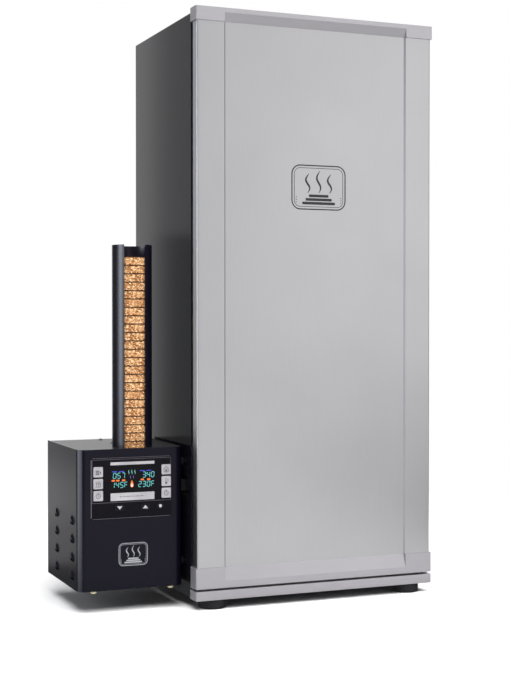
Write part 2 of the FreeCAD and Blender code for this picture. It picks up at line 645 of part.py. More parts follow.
def heating_element():
    """A hairpin of sheathed heating rod, whose two ends go back through the rear wall."""
    runs = []
    for z in ("heater_z - heater_bend", "heater_z + heater_bend"):
        runs.append(cylinder(("heater_left", "heater_y", z), "heater_r", "heater_right - heater_left", "X"))
        elbow = doc.addObject("Part::Sphere", "Elbow")
        bind(elbow, "Radius", "heater_r")
        move(elbow, ("heater_left", "heater_y", z))
        runs.append(elbow)
        runs.append(cylinder(("heater_left", "heater_y", z), "heater_r", "cavity_rear - heater_y", "Y"))
    bend = doc.addObject("Part::Torus", "Bend")
    bind(bend, "Radius1", "heater_bend")
    bind(bend, "Radius2", "heater_r")
    bend.Angle3 = 180
    bend.Placement = FreeCAD.Placement(
        FreeCAD.Vector(), FreeCAD.Rotation(FreeCAD.Vector(1, 0, 0), 90).multiply(FreeCAD.Rotation(UP, -90)))
    move(bend, ("heater_right", "heater_y", "heater_z"))
    keep(fuse(runs + [bend]), "heating_element")


def temperature_probe():
    rod = cylinder(("probe_x", "cavity_rear - probe_long", "probe_z"), "probe_r", "probe_long", "Y")
    gland = cylinder(("probe_x", "cavity_rear - 2 * probe_r", "probe_z"), "2.4 * probe_r", "2 * probe_r", "Y")
    keep(fuse([rod, gland]), "temperature_probe")


# ---------------------------------------------------------------- mains inlets

def inlet_outline(part, x="0", z="0", radius=None):
    """The rectangle of one part of an inlet, about the point (x, z)."""
    half_w, half_tall = f"{part}_half_w", f"{part}_half_tall"
    return rectangle((f"{x} - {half_w}", f"{z} - {half_tall}"), (f"{x} + {half_w}", f"{z} + {half_tall}"),
                     radius)


def inlet_socket(label, x, z, wall_face):
    """A flanged three-pin inlet that faces the back; the recess is open for the connector."""
    body = new_body(label, (x, wall_face, z))
    pad(body, "XZ", "0", "socket_plate", [inlet_outline("plate", radius="plate_round")])
    pad(body, "XZ", "-socket_deep", "socket_deep", [inlet_outline("socket")])
    pocket(body, "XZ", "-recess_deep", "recess_deep + 2 * socket_plate", [inlet_outline("recess")])
    blades = [inlet_outline("blade", x_mid, z_mid) for x_mid, z_mid in (
        ("-blade_gap", "-blade_half_tall"), ("0", "blade_half_tall"), ("blade_gap", "-blade_half_tall"))]
    pad(body, "XZ", "-recess_deep - 1", "blade_long", blades)
    keep(body, label)


def terminal_cover():
    """The raised box on the back that holds the mains terminals."""
    body = new_body("terminal_cover", ("cover_left", "shell_rear", "cover_low"))
    pad(body, "XZ", "0", "cover_deep", [rectangle(("0", "0"), ("cover_w", "cover_tall"), "cover_round")])
    round_edges(body, "cover_round - cover_sheet", lambda middle, edge: middle.y > value("cover_deep") - 0.01)
    pocket(body, "XZ", "0", "cover_deep - cover_sheet",
           [rectangle(("cover_sheet", "cover_sheet"), ("cover_w - cover_sheet", "cover_tall - cover_sheet"),
                      "cover_round - cover_sheet")])
    pocket(body, "XZ", "cover_deep - 3 * cover_sheet", "4 * cover_sheet",
           [inlet_outline("socket", "(inlet_x - cover_left)", "(inlet_z - cover_low)")])
    keep(body, "terminal_cover")


# ---------------------------------------------------------------- door

def door_cap(label, low, tall, top):
    """A moulded cap over one end of the door's skin.

    Its front carries the panel's recess, which slopes back out to the cap's face; its hollow is open
    towards the skin; and a solid corner on the right holds the hinge bore.
    """
    body = new_body(label)
    high = f"{low} + {tall}"
    pad(body, "XY", low, tall, [[
        ("0", "0", "cap_round"), ("door_w", "0", "cap_round"),
        ("door_w", "cap_deep", "cap_back_round"), ("0", "cap_deep", "cap_round"),
    ]])
    mouth = low if top else high
    tip = f"{low} + recess_end * {tall}" if top else f"{high} - recess_end * {tall}"
    pocket(body, "YZ", "step_x", "door_w - 2 * step_x",
           [[("0", mouth), ("1.5 * step_deep", mouth), ("0", tip)]])
    hollow = low if top else f"{low} + cap_wall"
    pocket(body, "XY", hollow, f"{tall} - 2 * cap_wall" if top else f"{tall} - cap_wall",
           [rectangle(("cap_wall", "cap_front_wall"), ("hinge_x - 1.5 * notch_side", "cap_deep - cap_wall"))])
    bore_low = "shell_top - pin_drop - 1" if top else low
    bore_top = "notch_low" if top else "low_pin_top + 1"
    pocket(body, "XY", bore_low, f"{bore_top} - ({bore_low})",
           circles=[("hinge_x", "hinge_y", "hinge_bore_r")])
    if top:
        pocket(body, "XY", "notch_low", f"{high} - notch_low + 1",
               [rectangle(("hinge_x - notch_side", "notch_front"), ("door_w + 1", "cap_deep + 1"))])
    keep(body, label)


def door_skin():
    """Front sheet with a sunk middle panel, and both side flanges, between the two caps."""
    body = new_body("door_skin")
    left = "skin_inset"
    right = "door_w - skin_inset"
    sunk = "skin_front + step_deep"
    low = "cap_low_z + cap_low_tall"
    front = [
        (left, "skin_rear"), (left, "skin_front", "skin_round"),
        ("step_x", "skin_front"), ("step_x + step_run", sunk),
        ("door_w - step_x - step_run", sunk), ("door_w - step_x", "skin_front"),
        (right, "skin_front", "skin_round"), (right, "skin_rear"),
    ]
    behind = [
        (f"{right} - skin_sheet", "skin_rear"),
        (f"{right} - skin_sheet", "skin_front + skin_sheet", "skin_round - skin_sheet"),
        ("door_w - step_x", "skin_front + skin_sheet"),
        ("door_w - step_x - step_run", f"{sunk} + skin_sheet"),
        ("step_x + step_run", f"{sunk} + skin_sheet"), ("step_x", "skin_front + skin_sheet"),
        (f"{left} + skin_sheet", "skin_front + skin_sheet", "skin_round - skin_sheet"),
        (f"{left} + skin_sheet", "skin_rear"),
    ]
    pad(body, "XY", low, f"cap_top_z - ({low})", [front + behind])
    keep(body, "door_skin")


def door_liner():
    """The door's inner sheet, with a raised field inside the gasket."""
    body = new_body("door_liner")
    left = "skin_inset + skin_sheet"
    right = "door_w - skin_inset - skin_sheet"
    low = "cap_low_z + cap_low_tall"
    back = "skin_rear - door_liner_sheet"
    pad(body, "XZ", back, "door_liner_sheet", [rectangle((left, low), (right, "cap_top_z"))])
    pad(body, "XZ", "skin_rear", "emboss_deep",
        [rectangle(("emboss_x", f"{low} + emboss_z"), ("door_w - emboss_x", "cap_top_z - emboss_z"),
                   "emboss_round")])
    pocket(body, "XZ", back, "emboss_deep",
           [rectangle(("emboss_x + door_liner_sheet", f"{low} + emboss_z + door_liner_sheet"),
                      ("door_w - emboss_x - door_liner_sheet", "cap_top_z - emboss_z - door_liner_sheet"),
                      "emboss_round - door_liner_sheet")])
    keep(body, "door_liner")


def door_insulation():
    low = "cap_low_z + cap_low_tall"
    keep(box(("skin_inset + 1.2 * skin_sheet", "skin_front + step_deep + skin_sheet", low),
             ("door_w - 2 * skin_inset - 2.4 * skin_sheet",
              "skin_rear - door_liner_sheet - skin_front - step_deep - skin_sheet",
              f"cap_top_z - ({low})")), "door_insulation")


def door_gasket():
    """A closed ring of soft seal on the inner sheet."""
    body = new_body("door_gasket")
    low = "cap_low_z + cap_low_tall + gasket_end"
    high = "cap_top_z - gasket_end"
    pad(body, "XZ", "skin_rear", "gasket_deep",
        [rectangle(("gasket_out", low), ("door_w - gasket_out", high), "gasket_round"),
         rectangle(("gasket_out + gasket_wide", f"{low} + gasket_wide"),
                   ("door_w - gasket_out - gasket_wide", f"{high} - gasket_wide"), "gasket_round / 2")])
    keep(body, "door_gasket")


def badge(label, x, z, width, tall, radius, face):
    """A thin plate with round corners on a front face."""
    body = new_body(label, (x, face, z))
    pad(body, "XZ", "-badge_thick", "badge_thick",
        [rectangle((f"-{width} / 2", f"-{tall} / 2"), (f"{width} / 2", f"{tall} / 2"), radius)])
    keep(body, label)


# ---------------------------------------------------------------- smoke generator box

INNER_LEFT = "gen_left + gen_sheet"
INNER_RIGHT = "gen_right - gen_sheet"
INNER_FRONT = "gen_front + gen_sheet"
INNER_REAR = "gen_rear - gen_sheet"
LID_TOP = "gen_top - lid_drop"


def generator_shell():
    """Front and sides in one sheet with round front corners, the panel's cut-out, side louvres and ports."""
    body = new_body("generator_shell")
    inner = "gen_round - gen_sheet"
    pad(body, "XY", "gen_low", "gen_top - gen_low", [[
        ("gen_left", "gen_rear"), ("gen_left", "gen_front", "gen_round"),
        ("gen_right", "gen_front", "gen_round"), ("gen_right", "gen_rear"),
        (INNER_RIGHT, "gen_rear"), (INNER_RIGHT, INNER_FRONT, inner),
        (INNER_LEFT, INNER_FRONT, inner), (INNER_LEFT, "gen_rear"),
    ]])
    pocket(body, "XZ", "gen_front - gen_sheet", "3 * gen_sheet",
           [rectangle(("panel_left + panel_lip", "panel_low + panel_lip"),
                      ("panel_right - panel_lip", "panel_top - panel_lip"))])
    bolts = [(y, z, "bolt_r") for y in ("bolt_front", "bolt_rear") for z in ("bolt_low", "bolt_top")]
    pocket(body, "YZ", "gen_right - 2 * gen_sheet", "3 * gen_sheet", [PORT], bolts)

    hoods = [[(f"{y} - louvre_w / 2", "louvre_low"), (f"{y} + louvre_w / 2", "louvre_low"),
              (y, "louvre_low + louvre_tall")] for y in ("louvre_front", "louvre_rear")]
    hood = pad(body, "YZ", "gen_left", "louvre_out", hoods)
    hood.Reversed = True
    bind(hood, "TaperAngle", "-louvre_slope")
    slots = [rectangle((f"{y} - louvre_slot_w / 2", "louvre_low - louvre_slot"),
                       (f"{y} + louvre_slot_w / 2", "louvre_low")) for y in ("louvre_front", "louvre_rear")]
    slot = pocket(body, "YZ", "gen_left - gen_sheet", "3 * gen_sheet", slots)
    repeat(body, [hood, slot], (slot.Profile[0], ["V_Axis"]), 4, "3 * louvre_pitch")
    keep(body, "generator_shell")


def generator_top_plate():
    """The sunk lid, with the hole for the feed tube."""
    body = new_body("generator_top_plate")
    inner = "gen_round - gen_sheet"
    pad(body, "XY", f"{LID_TOP} - gen_sheet", "gen_sheet", [[
        (INNER_LEFT, INNER_FRONT, inner), (INNER_RIGHT, INNER_FRONT, inner),
        (INNER_RIGHT, "gen_rear"), (INNER_LEFT, "gen_rear"),
    ]])
    pocket(body, "XY", f"{LID_TOP} - 2 * gen_sheet", "3 * gen_sheet",
           circles=[("tube_x", "tube_y", "tube_r")])
    keep(body, "generator_top_plate")


def generator_base():
    """The bottom sheet, with vent slots under the electronics."""
    body = new_body("generator_base")
    inner = "gen_round - gen_sheet"
    pad(body, "XY", "gen_low", "gen_sheet", [[
        (INNER_LEFT, INNER_FRONT, inner), (INNER_RIGHT, INNER_FRONT, inner),
        (INNER_RIGHT, INNER_REAR), (INNER_LEFT, INNER_REAR),
    ]])
    slot = pocket(body, "XY", "gen_low - gen_sheet", "3 * gen_sheet",
                  [rectangle(("tube_x - puck_r", "tube_y"), ("tube_x + puck_r", "tube_y + base_slot"))])
    repeat(body, [slot], (slot.Profile[0], ["V_Axis"]), 6, "20 * base_slot")
    keep(body, "generator_base")


def generator_back_cover():
    body = new_body("generator_back_cover")
    pad(body, "XZ", INNER_REAR, "gen_sheet",
        [rectangle((INNER_LEFT, "gen_low"), (INNER_RIGHT, f"{LID_TOP} - gen_sheet"))])
    pocket(body, "XZ", f"{INNER_REAR} - gen_sheet", "3 * gen_sheet",
           [inlet_outline("socket", "gen_inlet_x", "gen_inlet_z")])
    keep(body, "generator_back_cover")


def generator_feet():
    foot = new_body("bumper", None)
    revolve(foot, [
        ("0", "gen_low - gen_foot_tall"), ("gen_foot_r - 1", "gen_low - gen_foot_tall"),
        ("gen_foot_r", "gen_low - gen_foot_tall + 1"), ("gen_foot_r", "gen_low"), ("0", "gen_low"),
    ])
    places = [(x, y) for x in ("gen_left + gen_foot_left", "gen_right - gen_foot_right")
              for y in ("gen_front + gen_foot_front", "gen_rear - gen_foot_rear")]
    keep(compound([copy_at(foot, (x, y, "0")) for x, y in places]), "generator_feet")


def hanger_bolts():
    """Four bolts that hang the box on the cabinet: head inside, shank, and spacer in the gap."""
    bolts = []
    for y in ("bolt_front", "bolt_rear"):
        for z in ("bolt_low", "bolt_top"):
            head = cylinder((f"{INNER_RIGHT} - 3", y, z), "2 * bolt_r", "3", "X")
            shank = cylinder((INNER_RIGHT, y, z), "bolt_r", "shell_inset - gen_right + gen_sheet", "X")
            spacer = cylinder(("gen_right", y, z), "2.2 * bolt_r", "shell_inset - gen_right", "X")
            bolts.append(fuse([head, shank, spacer]))
    keep(compound(bolts), "hanger_bolts")


# ---------------------------------------------------------------- feed tube, pucks, deck and burner

def feed_tube():
    """A round magazine for the pucks, open along its front so that the stack can be seen."""
    body = new_body("feed_tube")
    body.Placement = FreeCAD.Placement(FreeCAD.Vector(), FreeCAD.Rotation(UP, 1))
    move(body, ("tube_x", "tube_y", "0"))
    bind(body, "Placement.Rotation.Angle", "slot_turn")
    pad(body, "XY", "tube_low", "tube_top - tube_low",
        circles=[("0", "0", "tube_r"), ("0", "0", "tube_r - tube_sheet")])
    pocket(body, "XY", "slot_low", "tube_top - slot_low",
           [rectangle(("-slot_w / 2", "-tube_r - 1"), ("slot_w / 2", "0"))])
    keep(body, "feed_tube")


STACK = 27


def pucks():
    """The stack in the tube, and the two pucks that already lie on the deck."""
    puck = new_body("puck", None)
    revolve(puck, [
        ("0", "0"), ("puck_r - puck_edge", "0"), ("puck_r", "puck_edge"),
        ("puck_r", "puck_tall - puck_edge"), ("puck_r - puck_edge", "puck_tall"), ("0", "puck_tall"),
    ])
    stack = [copy_at(puck, ("tube_x", "tube_y", f"deck_top + {level} * puck_tall + puck_gap"))
             for level in range(1, STACK + 1)]
    keep(compound(stack), "wood_pucks")
    deck = [copy_at(puck, (f"tube_x + {step} * puck_step", "tube_y", "deck_top")) for step in range(2)]
    keep(compound(deck), "deck_pucks")


def puck_deck():
    """The floor that the pucks slide on, with its side fences and the tunnel into the cabinet."""
    front = "tube_y - puck_r - fence_gap"
    rear = "tube_y + puck_r + fence_gap"
    low = "deck_top - deck_sheet"
    reach = "deck_right - deck_left"
    floor = box(("deck_left", f"{front} - deck_sheet", low),
                (reach, "2 * puck_r + 2 * fence_gap + 2 * deck_sheet", "deck_sheet"))
    front_fence = box(("deck_left", f"{front} - deck_sheet", low),
                      (f"{reach} + burner_w", "deck_sheet", "fence_top - deck_top + deck_sheet"))
    rear_fence = box(("fence_rear_left", rear, low),
                     ("deck_right + burner_w - fence_rear_left", "deck_sheet",
                      "fence_top - deck_top + deck_sheet"))
    roof = box(("fence_rear_left", f"{front} - deck_sheet", "fence_top"),
               ("deck_right - fence_rear_left", "2 * puck_r + 2 * fence_gap + 2 * deck_sheet", "deck_sheet"))
    shelf = box(("gear_x - motor_r", rear, low), ("2 * motor_r", "motor_r + gear_r", "deck_sheet"))
    shaft_way = cylinder(("gear_x", GEAR_Y, f"{low} - 1"), "1.5 * shaft_r", "2 * deck_sheet + 1")
    keep(cut(fuse([floor, front_fence, rear_fence, roof, shelf]), [shaft_way]), "puck_deck")


def burner_plate():
    """The heated plate at the end of the deck, inside the cavity."""
    body = new_body("burner_plate", ("deck_right", "tube_y", "deck_top - burner_thick"))
    pad(body, "XY", "0", "burner_thick", [[
        ("0", "-puck_r"), ("burner_w", "-puck_r", "burner_round"),
        ("burner_w", "puck_r", "burner_round"), ("0", "puck_r"),
    ]])
    keep(body, "burner_plate")


# ---------------------------------------------------------------- pusher, rack, pinion and motor

GEAR_Y = "(tube_y + puck_r + fence_gap + rack_bar_wide + gear_dedendum + gear_r)"
PRESSURE = math.radians(20)
FIRST_TOOTH, LAST_TOOTH = -15, 1      # the rack's teeth, counted from the gap that faces the pinion


def tooth_flank():
    """Points up one flank of a pinion tooth, as (radius, angle from the tooth's middle)."""
    pitch_r = value("gear_r")
    root_r = pitch_r - value("gear_dedendum")
    tip_r = pitch_r + value("gear_addendum")
    base_r = pitch_r * math.cos(PRESSURE)
    tooth = math.pi * pitch_r / value("gear_teeth") - value("gear_play")
    half = tooth / 2 / pitch_r + math.tan(PRESSURE) - PRESSURE
    flank = [(root_r, half)]
    steps = 6
    for step in range(steps + 1):
        radius = base_r + (tip_r - base_r) * step / steps
        lean = math.acos(base_r / radius)
        flank.append((radius, half - (math.tan(lean) - lean)))
    return flank


def drive_pinion():
    """An involute pinion on its shaft; one tooth points straight at the rack."""
    teeth = int(value("gear_teeth"))
    flank = tooth_flank()
    points = []
    for tooth in range(teeth):
        middle = -math.pi / 2 + tooth * 2 * math.pi / teeth
        edge = [(radius, middle - angle) for radius, angle in flank]
        edge += [(radius, middle + angle) for radius, angle in reversed(flank)]
        points += [FreeCAD.Vector(r * math.cos(a), r * math.sin(a), 0) for r, a in edge]
    wheel = Part.Face(Part.makePolygon(points + points[:1])).extrude(UP * value("rack_thick"))
    low = value("deck_top + rack_lift")
    wheel.translate(UP * low)
    shaft = Part.makeCylinder(value("shaft_r"), low - value("shaft_low") + 1, UP * value("shaft_low"))
    pinion = doc.addObject("Part::Feature", "drive_pinion")
    pinion.Shape = wheel.fuse(shaft).removeSplitter()
    move(pinion, ("gear_x", GEAR_Y, "0"))
    keep(pinion, "drive_pinion")


def pusher():
    """The slide that drives the pucks, with a toothed bar along its rear edge."""
    plate = box(("pusher_left", "tube_y - puck_r + fence_gap", "deck_top + pusher_gap"),
                ("tube_x - puck_r - pusher_gap - pusher_left", "2 * puck_r", "pusher_tall"))
    bar_front = "tube_y + puck_r + fence_gap"
    bar_low = "deck_top + rack_lift"
    bar = box(("rack_bar_left", bar_front, bar_low),
              ("rack_bar_right - rack_bar_left", "rack_bar_wide", "rack_thick"))

    teeth = new_body("rack_teeth")
    pitch = math.pi * 2 * value("gear_r") / value("gear_teeth")
    root_y = f"({bar_front} + rack_bar_wide)"
    tip_y = f"({root_y} + gear_dedendum + gear_addendum)"
    half_pitch = (pitch / 2 - value("gear_play")) / 2
    root_half = half_pitch + value("gear_dedendum") * math.tan(PRESSURE)
    tip_half = half_pitch - value("gear_addendum") * math.tan(PRESSURE)
    outlines = []
    for number in range(FIRST_TOOTH, LAST_TOOTH + 1):
        middle = f"gear_x + {(number + 0.5) * pitch:.5f}"
        half = [(root_half, f"{root_y} - 0.5"), (root_half, root_y), (tip_half, tip_y)]
        right = [(f"{middle} + {across:.5f}", y) for across, y in half]
        left = [(f"{middle} - {across:.5f}", y) for across, y in reversed(half)]
        outlines.append(right + left)
    pad(teeth, "XY", bar_low, "rack_thick", outlines)
    keep(fuse([plate, bar, teeth]), "pusher")


def gear_motor():
    """Round gearbox under the deck with the motor behind it."""
    gearbox = cylinder(("gear_x", GEAR_Y, "motor_low"), "motor_r", "deck_top - deck_sheet - motor_low")
    can = box(("gear_x - motor_w / 2", GEAR_Y, "motor_low + 4"),
              ("motor_w", "motor_long", "deck_top - deck_sheet - motor_low - 10"))
    bore = cylinder(("gear_x", GEAR_Y, "shaft_low - 1"), "shaft_bore_r", "deck_top - shaft_low + 2")
    keep(cut(fuse([gearbox, can]), [bore]), "gear_motor")


# ---------------------------------------------------------------- control panel

KEYS = {
    "down_key": ("down_x", "arrow_z", "arrow_w", "arrow_tall"),
    "up_key": ("up_x", "arrow_z", "arrow_w", "arrow_tall"),
}
for side in ("left", "right"):
    for row_number in range(3):
        KEYS[f"key_{side}_{3 - row_number}"] = (
            f"key_{side}_x", f"(key_low_z + {row_number} * key_row)", "key_w", "key_tall")


def key_rectangle(key, grow, radius):
    x, z, width, tall = KEYS[key]
    return rectangle((f"{x} - {width} / 2 - {grow}", f"{z} - {tall} / 2 - {grow}"),
                     (f"{x} + {width} / 2 + {grow}", f"{z} + {tall} / 2 + {grow}"), radius)


def control_panel():
    """The moulded bezel, through which the keys and the display look out."""
    body = new_body("control_panel")
    low = ("panel_left", "panel_low")
    high = ("panel_right", "panel_top")
    pad(body, "XZ", "panel_front", "gen_front - panel_front", [rectangle(low, high, "panel_round")])
    pad(body, "XZ", "gen_front", "panel_back - gen_front",
        [rectangle((f"{low[0]} + panel_lip", f"{low[1]} + panel_lip"),
                   (f"{high[0]} - panel_lip", f"{high[1]} - panel_lip"))])
    openings = [key_rectangle(key, "key_gap", "key_round + key_gap") for key in KEYS]
    openings.append(rectangle(("window_left", "window_low"), ("window_right", "window_top")))
    pocket(body, "XZ", "panel_front - 1", "panel_back - panel_front + 2", openings,
           [("power_x", "arrow_z", "power_r + key_gap")])
    keep(body, "control_panel")


def display_window():
    keep(box(("window_left", "window_front", "window_low"),
             ("window_right - window_left", "panel_back - window_front", "window_top - window_low")),
         "display_window")


def panel_keys():
    """Each key has a face in the bezel and a flange behind it, and travels towards the board."""
    for key in KEYS:
        body = new_body(key)
        pad(body, "XZ", "key_front", "key_back - key_front", [key_rectangle(key, "0", "key_round")])
        pad(body, "XZ", "key_back", "key_flange_thick", [key_rectangle(key, "key_flange", "key_round")])
        keep(body, key)
    power = new_body("power_key")
    pad(power, "XZ", "key_front", "key_back - key_front", circles=[("power_x", "arrow_z", "power_r")])
    pad(power, "XZ", "key_back", "key_flange_thick",
        circles=[("power_x", "arrow_z", "power_r + key_flange")])
    keep(power, "power_key")


def control_board():
    """The circuit board behind the panel, on four posts from the bezel."""
    low = ("panel_left + board_margin", "panel_low + board_margin")
    high = ("panel_right - board_margin", "panel_top - board_margin")
    board = box((low[0], "board_front", low[1]),
                (f"{high[0]} - ({low[0]})", "board_thick", f"{high[1]} - ({low[1]})"))
    posts = [cylinder((x, "panel_back", z), "post_r", "board_front - panel_back", "Y")
             for x in ("window_left - post_out", "window_right + post_out")
             for z in ("window_low - post_down", "window_top - post_down")]
    relay = box(("window_left", "board_front + board_thick", f"{low[1]} + post_down"),
                ("relay_w", "relay_deep", "relay_tall"))
    keep(fuse([board, relay] + posts), "control_board")


def panel_screws():
    """Pan heads on the lids, the back and the hinge arm."""
    screw = new_body("screw", None)
    revolve(screw, [("0", "0"), ("screw_r", "0"), ("0.94 * screw_r", "0.6 * screw_tall"),
                    ("0.6 * screw_r", "0.95 * screw_tall"), ("0", "screw_tall")])
    heads = []
    for y in ("lid_screw_front", "lid_screw_rear"):
        heads.append(copy_at(screw, ("lid_screw_x", y, LID_TOP)))
    for y in ("arm_rear - 2 * screw_in", "arm_rear - screw_in + 2"):
        heads.append(copy_at(screw, ("hinge_x", y, "shell_top + arm_thick")))
    for x in ("screw_in", "door_w / 2", "door_w - screw_in"):
        for z in ("pan_top + screw_corner", "shell_top - screw_in"):
            heads.append(copy_at(screw, (x, "shell_rear", z), "Y"))
    for x in ("gen_left + screw_corner", "gen_right - screw_corner"):
        for z in ("gen_low + screw_corner", "gen_top - screw_in"):
            heads.append(copy_at(screw, (x, "gen_rear", z), "Y"))
    keep(compound(heads), "panel_screws")


# ---------------------------------------------------------------- the whole object

def build():
    outer_shell()
    back_panel()
    inner_liner()
    wall_insulation()
    base_pan()
    base_trim()
    cabinet_feet()
    hinge_parts()
    vent_collar()
    vent_damper()
    rack_rails()
    wire_racks()
    drip_tray()
    water_bowl()
    heating_element()
    temperature_probe()
    terminal_cover()
    inlet_socket("cabinet_inlet", "inlet_x", "inlet_z", "shell_rear + cover_deep")
    door_cap("door_cap_top", "cap_top_z", "cap_top_tall", top=True)
    door_cap("door_cap_bottom", "cap_low_z", "cap_low_tall", top=False)
    door_skin()
    door_liner()
    door_insulation()
    door_gasket()
    badge("door_emblem", "badge_x", "badge_z", "badge_w", "badge_tall", "badge_round",
          "skin_front + step_deep")
    generator_shell()
    generator_top_plate()
    generator_base()
    generator_back_cover()
    generator_feet()
    hanger_bolts()
    badge("generator_emblem", "mark_x", "mark_z", "mark_w", "mark_tall", "mark_round", "gen_front")
    inlet_socket("generator_inlet", "gen_inlet_x", "gen_inlet_z", "gen_rear")
    feed_tube()
    pucks()
    puck_deck()
    burner_plate()
    drive_pinion()
    pusher()
    gear_motor()
    control_panel()
    display_window()
    panel_keys()
    control_board()
    panel_screws()
    doc.recompute()


def check():
    """Stop when a feature failed or a sub-part is empty or invalid."""
    for thing in doc.Objects:
        if "Invalid" in thing.State or "Error" in thing.State:
            raise RuntimeError(f"{thing.Label} failed: {thing.State}")
    for node in nodes:
        if node.Shape.isNull() or not node.Shape.isValid():
            raise RuntimeError(f"{node.Label} has no valid shape")


def export():
    os.makedirs("parts", exist_ok=True)
    for node in nodes:
        node.Shape.exportStep(f"parts/{node.Label}.step")


build()
check()
export()
print(len(nodes), "nodes")
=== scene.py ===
import math
import random

import bmesh
import bpy
from mathutils import Matrix, Vector, noise


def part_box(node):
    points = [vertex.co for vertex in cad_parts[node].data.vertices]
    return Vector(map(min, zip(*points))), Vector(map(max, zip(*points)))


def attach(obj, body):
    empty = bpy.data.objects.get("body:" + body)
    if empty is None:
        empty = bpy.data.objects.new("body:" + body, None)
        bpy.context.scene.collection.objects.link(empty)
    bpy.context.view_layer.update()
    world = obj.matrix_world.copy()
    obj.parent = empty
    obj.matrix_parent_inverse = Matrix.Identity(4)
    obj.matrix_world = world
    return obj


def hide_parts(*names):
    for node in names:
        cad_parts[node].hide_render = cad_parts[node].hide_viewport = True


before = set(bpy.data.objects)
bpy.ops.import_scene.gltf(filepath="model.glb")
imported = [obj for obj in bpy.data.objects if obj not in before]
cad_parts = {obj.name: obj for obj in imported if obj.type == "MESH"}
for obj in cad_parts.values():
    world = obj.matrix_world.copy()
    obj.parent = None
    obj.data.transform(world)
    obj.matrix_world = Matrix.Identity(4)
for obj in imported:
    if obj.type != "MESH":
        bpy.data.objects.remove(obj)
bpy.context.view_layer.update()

MM = 0.001
SCENE = bpy.context.scene


# ---------------------------------------------------------------- node materials

def srgb(red, green, blue):
    """A linear colour from the usual 0 to 255 values."""
    def linear(value):
        share = value / 255
        return share / 12.92 if share <= 0.04045 else ((share + 0.055) / 1.055) ** 2.4
    return (linear(red), linear(green), linear(blue), 1.0)


def grey(value):
    """A linear grey."""
    return (value, value, value, 1)


def toned(colour, factor):
    """The same colour, lighter or darker."""
    return tuple(min(1.0, channel * factor) for channel in colour[:3]) + (1.0,)


class Finish:
    """One procedural material: a Principled shader, with short calls that add and join nodes.

    Scales are in features per metre, and the depth of a relief is in millimetres.
    """

    def __init__(self, name, **sockets):
        self.material = bpy.data.materials.new(name)
        self.material.use_nodes = True
        self.tree = self.material.node_tree
        self.shader = self.tree.nodes["Principled BSDF"]
        self.normal = None
        for socket, value in sockets.items():
            label = socket.replace("_", " ").title().replace("Ior", "IOR")
            self.shader.inputs[label].default_value = value

    def add(self, kind, inputs=None, **settings):
        """A node with its settings, whose inputs are numbers, colours or other nodes' outputs."""
        node = self.tree.nodes.new(kind)
        for setting, value in settings.items():
            setattr(node, setting, value)
        for socket, value in (inputs or {}).items():
            self.join(value, node.inputs[socket])
        return node

    def join(self, value, socket):
        """Links a node's output to a socket, or sets the socket to a constant."""
        if isinstance(value, bpy.types.NodeSocket):
            self.tree.links.new(value, socket)
        else:
            socket.default_value = value

    def place(self, stretch=(1, 1, 1)):
        """The point on the piece, in metres, with each axis stretched."""
        where = self.add("ShaderNodeTexCoord").outputs["Object"]
        return self.add("ShaderNodeMapping", {"Vector": where, "Scale": stretch}).outputs["Vector"]

    def noise(self, scale, stretch=(1, 1, 1), detail=2.0, rough=0.5, bend=0.0):
        return self.add("ShaderNodeTexNoise", {
            "Vector": self.place(stretch), "Scale": scale, "Detail": detail,
            "Roughness": rough, "Distortion": bend}).outputs["Fac"]

    def cells(self, scale, feature="F1", jitter=1.0, where=None):
        return self.add("ShaderNodeTexVoronoi", {
            "Vector": where or self.place(), "Scale": scale, "Randomness": jitter}, feature=feature)

    def ramp(self, factor, *stops):
        """Colours along a 0 to 1 value."""
        node = self.add("ShaderNodeValToRGB", {"Fac": factor})
        bar = node.color_ramp.elements
        while len(bar) < len(stops):
            bar.new(0.5)
        for element, (position, colour) in zip(bar, stops):
            element.position = position
            element.color = colour
        return node.outputs["Color"]

    def level(self, factor, over=(0.0, 1.0), into=(0.0, 1.0)):
        """A value that runs over one range, brought into another."""
        return self.add("ShaderNodeMapRange", {
            "Value": factor, "From Min": over[0], "From Max": over[1],
            "To Min": into[0], "To Max": into[1]}).outputs["Result"]

    def blend(self, factor, first, second, how="MIX"):
        node = self.add("ShaderNodeMix", data_type="RGBA", blend_type=how)
        self.join(factor, node.inputs["Factor"])
        self.join(first, node.inputs["A"])
        self.join(second, node.inputs["B"])
        return next(output for output in node.outputs if output.type == "RGBA")

    def times(self, first, second):
        """One colour multiplied by another."""
        return self.blend(1.0, first, second, "MULTIPLY")

    def clouded(self, colour, cloud, darker, lighter, over=(0.3, 0.7)):
        """The colour, which drifts with a noise between a darker and a lighter tone."""
        return self.blend(self.level(cloud, over), toned(colour, darker), toned(colour, lighter))

    def relief(self, height, strength, depth):
        """Adds a bump on top of the bumps so far."""
        inputs = {"Height": height, "Strength": strength, "Distance": depth * MM}
        if self.normal:
            inputs["Normal"] = self.normal
        self.normal = self.add("ShaderNodeBump", inputs).outputs["Normal"]
        self.join(self.normal, self.shader.inputs["Normal"])

    def colour(self, value):
        self.join(value, self.shader.inputs["Base Color"])

    def roughness(self, value):
        self.join(value, self.shader.inputs["Roughness"])


GRAIN = {"x": (0.02, 1, 1), "y": (1, 0.02, 1), "z": (1, 1, 0.02)}


